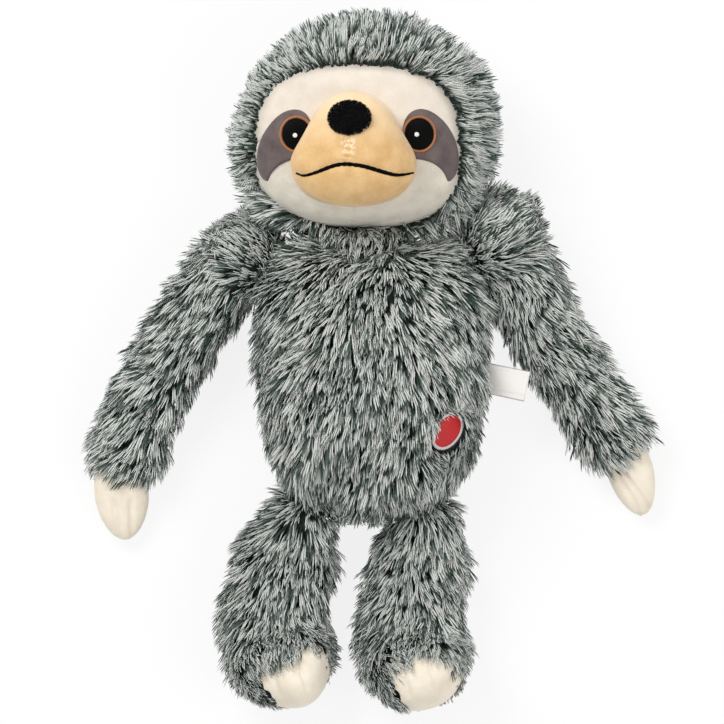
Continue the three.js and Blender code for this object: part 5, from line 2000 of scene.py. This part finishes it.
@dataclass
class Leg:
    """A furry leg and its short-pile toe cap."""

    shop: Workshop
    side: Side
    outer_spread: float
    toe_stretch: float
    combing: Combing = Combing(60)
    tufts: int = 2750
    root_radius: float = 18.0
    cap_length: float = 17.0
    cap_inset: float = 1.4
    cap_under: float = 6.0
    sole_reach: float = 12.5
    sole: Pair = (36.0, 18.0)
    heel: Pair = (32.0, 14.0)
    upper: Pair = (26.0, 36.0)
    hem: float = 2.0
    shortest: float = 0.42
    toe_lines: Pair = (-6.5, 6.5)
    line_depth: float = 1.1
    cap_pad: Padding = Padding(voxel=1.9, smoothing=5, cap=1.2)

    def build(self) -> None:
        """Makes the leg's and the toe cap's pieces."""
        sizes, side = LEGS[self.side], self.side.value
        form = sizes.form(self.side)
        skin = padded_skin(
            f"leg_cloth_{side}", form, (sizes.pivot, self.root_radius), self.shop.pad
        )
        points = points_of(skin)
        along, across, _ = form.local(points)
        place, _, _, slope = form.frame_at(along)
        past = self.past_seam(form, points)
        # The cloth goes in under the cap, and rolls up to a hem before it
        cap = smooth_step(past, 1, 8)
        points -= (points - place) * (0.06 * cap)[:, None] + slope * (1.5 * cap)[:, None]
        hem = smooth_step(past, -12, -4) * (1 - smooth_step(past, 1, 6))
        points += unit(points - place) * (self.hem * hem)[:, None]
        move_points(skin, points)
        finish_piece(skin, self.shop.finishes.backing, f"leg_{side}")
        x, _, z = points.T
        comb = slope.copy()
        out = (x - place[:, 0]) / 23.5
        spread = np.where(out * self.side.sign > 0, self.outer_spread, 0.3)
        near = smooth_step(past, -16, -3)
        comb[:, 0] += spread * out * smooth_step(z, 10, 32) * (1 - near)
        comb[:, 0] += 0.45 * near * smooth_step(-across, 0, 8)
        comb = self.combing.ruffle(comb, points)
        planted = under_share(skin)
        planted *= 1 + 1.4 * smooth_step(past, -9, -3)
        planted[past > 0.8 + 0.8 * drift(points, 8, 64)[:, 0]] = 0
        planted[TORSO.fill(points, FUR_INSET) < 0.8] = 0
        # Short under the foot and beside the cap, with a fringe over the cap's seam
        top = smooth_step(z, *self.upper)
        sole = smooth_step(along, *(form.length - reach for reach in self.sole)) * (1 - top)
        fringe = smooth_step(past, -10, -2) * top * (1 + 2.5 * smooth_step(across, 2, 12))
        heel = smooth_step(along, *(form.length - reach for reach in self.heel))
        corner = smooth_step(-across, 0, 14) * heel
        uneven = 0.1 * self.combing.uneven(points, 20)
        grow = 0.9 + uneven - 0.5 * sole - 0.1 * fringe - 0.3 * corner
        grow = np.maximum(grow, self.shortest)
        name, seed = f"leg_fur_{side}", SEED + 9 + self.side.sign
        fur = self.shop.fur.plant(name, skin, comb, planted, grow, self.tufts, seed)
        finish_piece(fur, self.shop.finishes.pile, f"leg_{side}")
        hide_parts(f"leg_cover_{side}", f"leg_stuffing_{side}")
        self.sew_cap(form)

    def past_seam(self, form: SoftForm, points: Array) -> Array:
        """Tells how far past the toe cap's seam each point lies.

        The seam goes straight over the toes, and the furry sole wraps up one side of it.

        Args:
            form: The leg's form.
            points: Points, in millimetres.

        Returns:
            The distance of each point, in millimetres, negative on the furry side.
        """
        along, across, rise = form.local(points)
        over = along - (form.length - self.cap_length)
        beside = across + self.sole_reach + 0.2 * rise
        return -2 * np.logaddexp(-over / 2, -beside / 2)

    def sew_cap(self, form: SoftForm) -> None:
        """Makes the toe cap over the leg's rounded end, with its toe lines."""
        sides, rings = 48, 26
        angles = round_angles(sides)
        # The cap's first ring lies on the seam, which is found by halving
        low, high = np.full(sides, form.length - 50.0), np.full(sides, form.length - 1.5)
        for _ in range(20):
            middle = (low + high) / 2
            beyond = self.past_seam(form, form.surface(middle, angles, self.cap_inset)) > 0
            low, high = np.where(beyond, low, middle), np.where(beyond, middle, high)
        angles, first = np.tile(angles, rings), np.tile(high, rings)
        step = np.repeat(np.sin(np.linspace(0, math.pi / 2, rings)), sides)
        along = first + (form.length - 1.0 - first) * step
        outer = form.surface(along, angles, self.cap_inset).reshape(rings, sides, 3)
        inner = form.surface(along - 5.0 * step, angles, self.cap_under)
        side = self.side.value
        cap = slab(f"toe_cap_{side}_pile", outer, inner.reshape(rings, sides, 3), closed=True)
        self.cap_pad.stuff(cap, lambda points: self.past_seam(form, points) < 1.5)
        points = points_of(cap)
        _, across, rise = form.local(points)
        heart = form.frame_at(np.array([form.length - self.cap_length - 6.0]))[0]
        away = unit(points - heart)
        outside = smooth_step(np.hypot(across, rise), 4, 9)
        for line in self.toe_lines:
            groove = hump(across - line, 1.0) * smooth_step(rise, -2, 6)
            points -= away * (self.line_depth * groove * outside)[:, None]
        slope = form.frame_at(form.local(points)[0])[3]
        reach = smooth_step(self.past_seam(form, points), 3, 16)
        points += slope * (self.toe_stretch * reach)[:, None]
        move_points(cap, points)
        finish_piece(cap, self.shop.finishes.cream, f"leg_{side}")
        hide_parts(f"toe_cap_{side}")


@dataclass(frozen=True)
class MattPaper(Finish):
    """Pale matt paper: the camera sees it near white, and it keeps the toy's shadow."""

    colour: str
    glow: float = 0.85

    def surface(self, add: Adder) -> dict[str, object]:
        """Gives a plain surface without gloss."""
        return {"Base Color": linear(self.colour), "Roughness": 0.9, "Specular IOR Level": 0.1}

    def build(self) -> Material:
        """Makes the material, and mixes white light in for the camera alone."""
        material = super().build()
        tree = material.node_tree
        add = partial(add_node, tree)
        output = next(n for n in tree.nodes if n.type == "OUTPUT_MATERIAL")
        shader = next(n for n in tree.nodes if n.type == "BSDF_PRINCIPLED")
        glow = add("ShaderNodeEmission", {"Color": (1, 1, 1, 1), "Strength": 1.0})
        seen = {0: (add("ShaderNodeLightPath"), "Is Camera Ray"), 1: self.glow}
        share = add("ShaderNodeMath", seen, operation="MULTIPLY")
        both = add("ShaderNodeMixShader", {0: share, 1: shader, 2: glow})
        tree.links.new(both.outputs[0], output.inputs["Surface"])
        return material


@dataclass(frozen=True)
class Studio:
    """The pale floor, the soft light and the camera straight above."""

    floor_colour: str = "#f4f4f4"
    floor_reach: float = 3000.0
    floor_level: float = -0.4
    sky: float = 0.55
    lens: float = 1051.0
    camera_place: Place = (-0.00471, 0.00141, 10.05)

    def build(self) -> None:
        """Makes the stage."""
        grid = np.linspace(-self.floor_reach, self.floor_reach, 13)
        points = np.array([(x, y, self.floor_level) for y in grid for x in grid])
        floor = mesh_object("floor", points, grid_faces(13, 13, closed=False))
        floor.data.materials.append(MattPaper("matt_paper", self.floor_colour).build())
        self.hang_light("key_light", (-0.7, 0.9, 1.4), 0.9, 19.8)
        self.hang_light("fill_light", (1.1, -0.5, 1.5), 1.2, 9.9)
        world = bpy.data.worlds.new("soft_sky")
        world.use_nodes = True
        sky = next(n for n in world.node_tree.nodes if n.type == "BACKGROUND")
        sky.inputs["Color"].default_value = (1, 1, 1, 1)
        sky.inputs["Strength"].default_value = self.sky
        scene = bpy.context.scene
        scene.world = world
        scene.view_settings.view_transform = "Standard"
        data = bpy.data.cameras.new("camera")
        data.lens = self.lens
        camera = bpy.data.objects.new("camera", data)
        camera.location = self.camera_place
        scene.collection.objects.link(camera)
        scene.camera = camera

    def hang_light(self, name: str, place: Place, size: float, power: float) -> None:
        """Hangs one large soft light that faces the toy."""
        data = bpy.data.lights.new(name, "AREA")
        data.shape = "DISK"
        data.size = size
        data.energy = power
        light = bpy.data.objects.new(name, data)
        light.location = place
        light.rotation_euler = (-Vector(place)).to_track_quat("-Z", "Y").to_euler()
        bpy.context.scene.collection.objects.link(light)


def main() -> None:
    """Makes the toy and its stage."""
    logging.basicConfig(level=logging.INFO, format="%(name)s: %(message)s")
    Studio().build()
    finishes = Finishes()
    shop = Workshop(finishes, Pile(finishes.pile))
    shop.gathered_seam("neck_seam", NECK_PIVOT, "neck")
    for side in Side:
        for joint, pivot in (("shoulder", ARMS[side].pivot), ("hip", LEGS[side].pivot)):
            shop.gathered_seam(f"{joint}_seam_{side.value}", pivot, f"{joint}_{side.value}")
    Torso(shop).build()
    Head(shop).build()
    # Each finger line: from and to, as shares of the hand's length, and how far across
    left_lines = ((0.3, 0.9, -4.2, 3.8), (0.3, 0.75, -7.0, -2.5))
    right_lines = ((0.45, 1.0, -4.2, -2.8), (0.45, 1.0, 4.2, 2.6))
    Arm(shop, Side.LEFT, shoulder_growth=0.22, finger_lines=left_lines).build()
    Leg(shop, Side.LEFT, outer_spread=0.6, toe_stretch=0.5).build()
    Arm(shop, Side.RIGHT, shoulder_growth=-0.22, finger_lines=right_lines).build()
    Leg(shop, Side.RIGHT, outer_spread=1.0, toe_stretch=3.5).build()


if __name__ == "__main__":
    main()
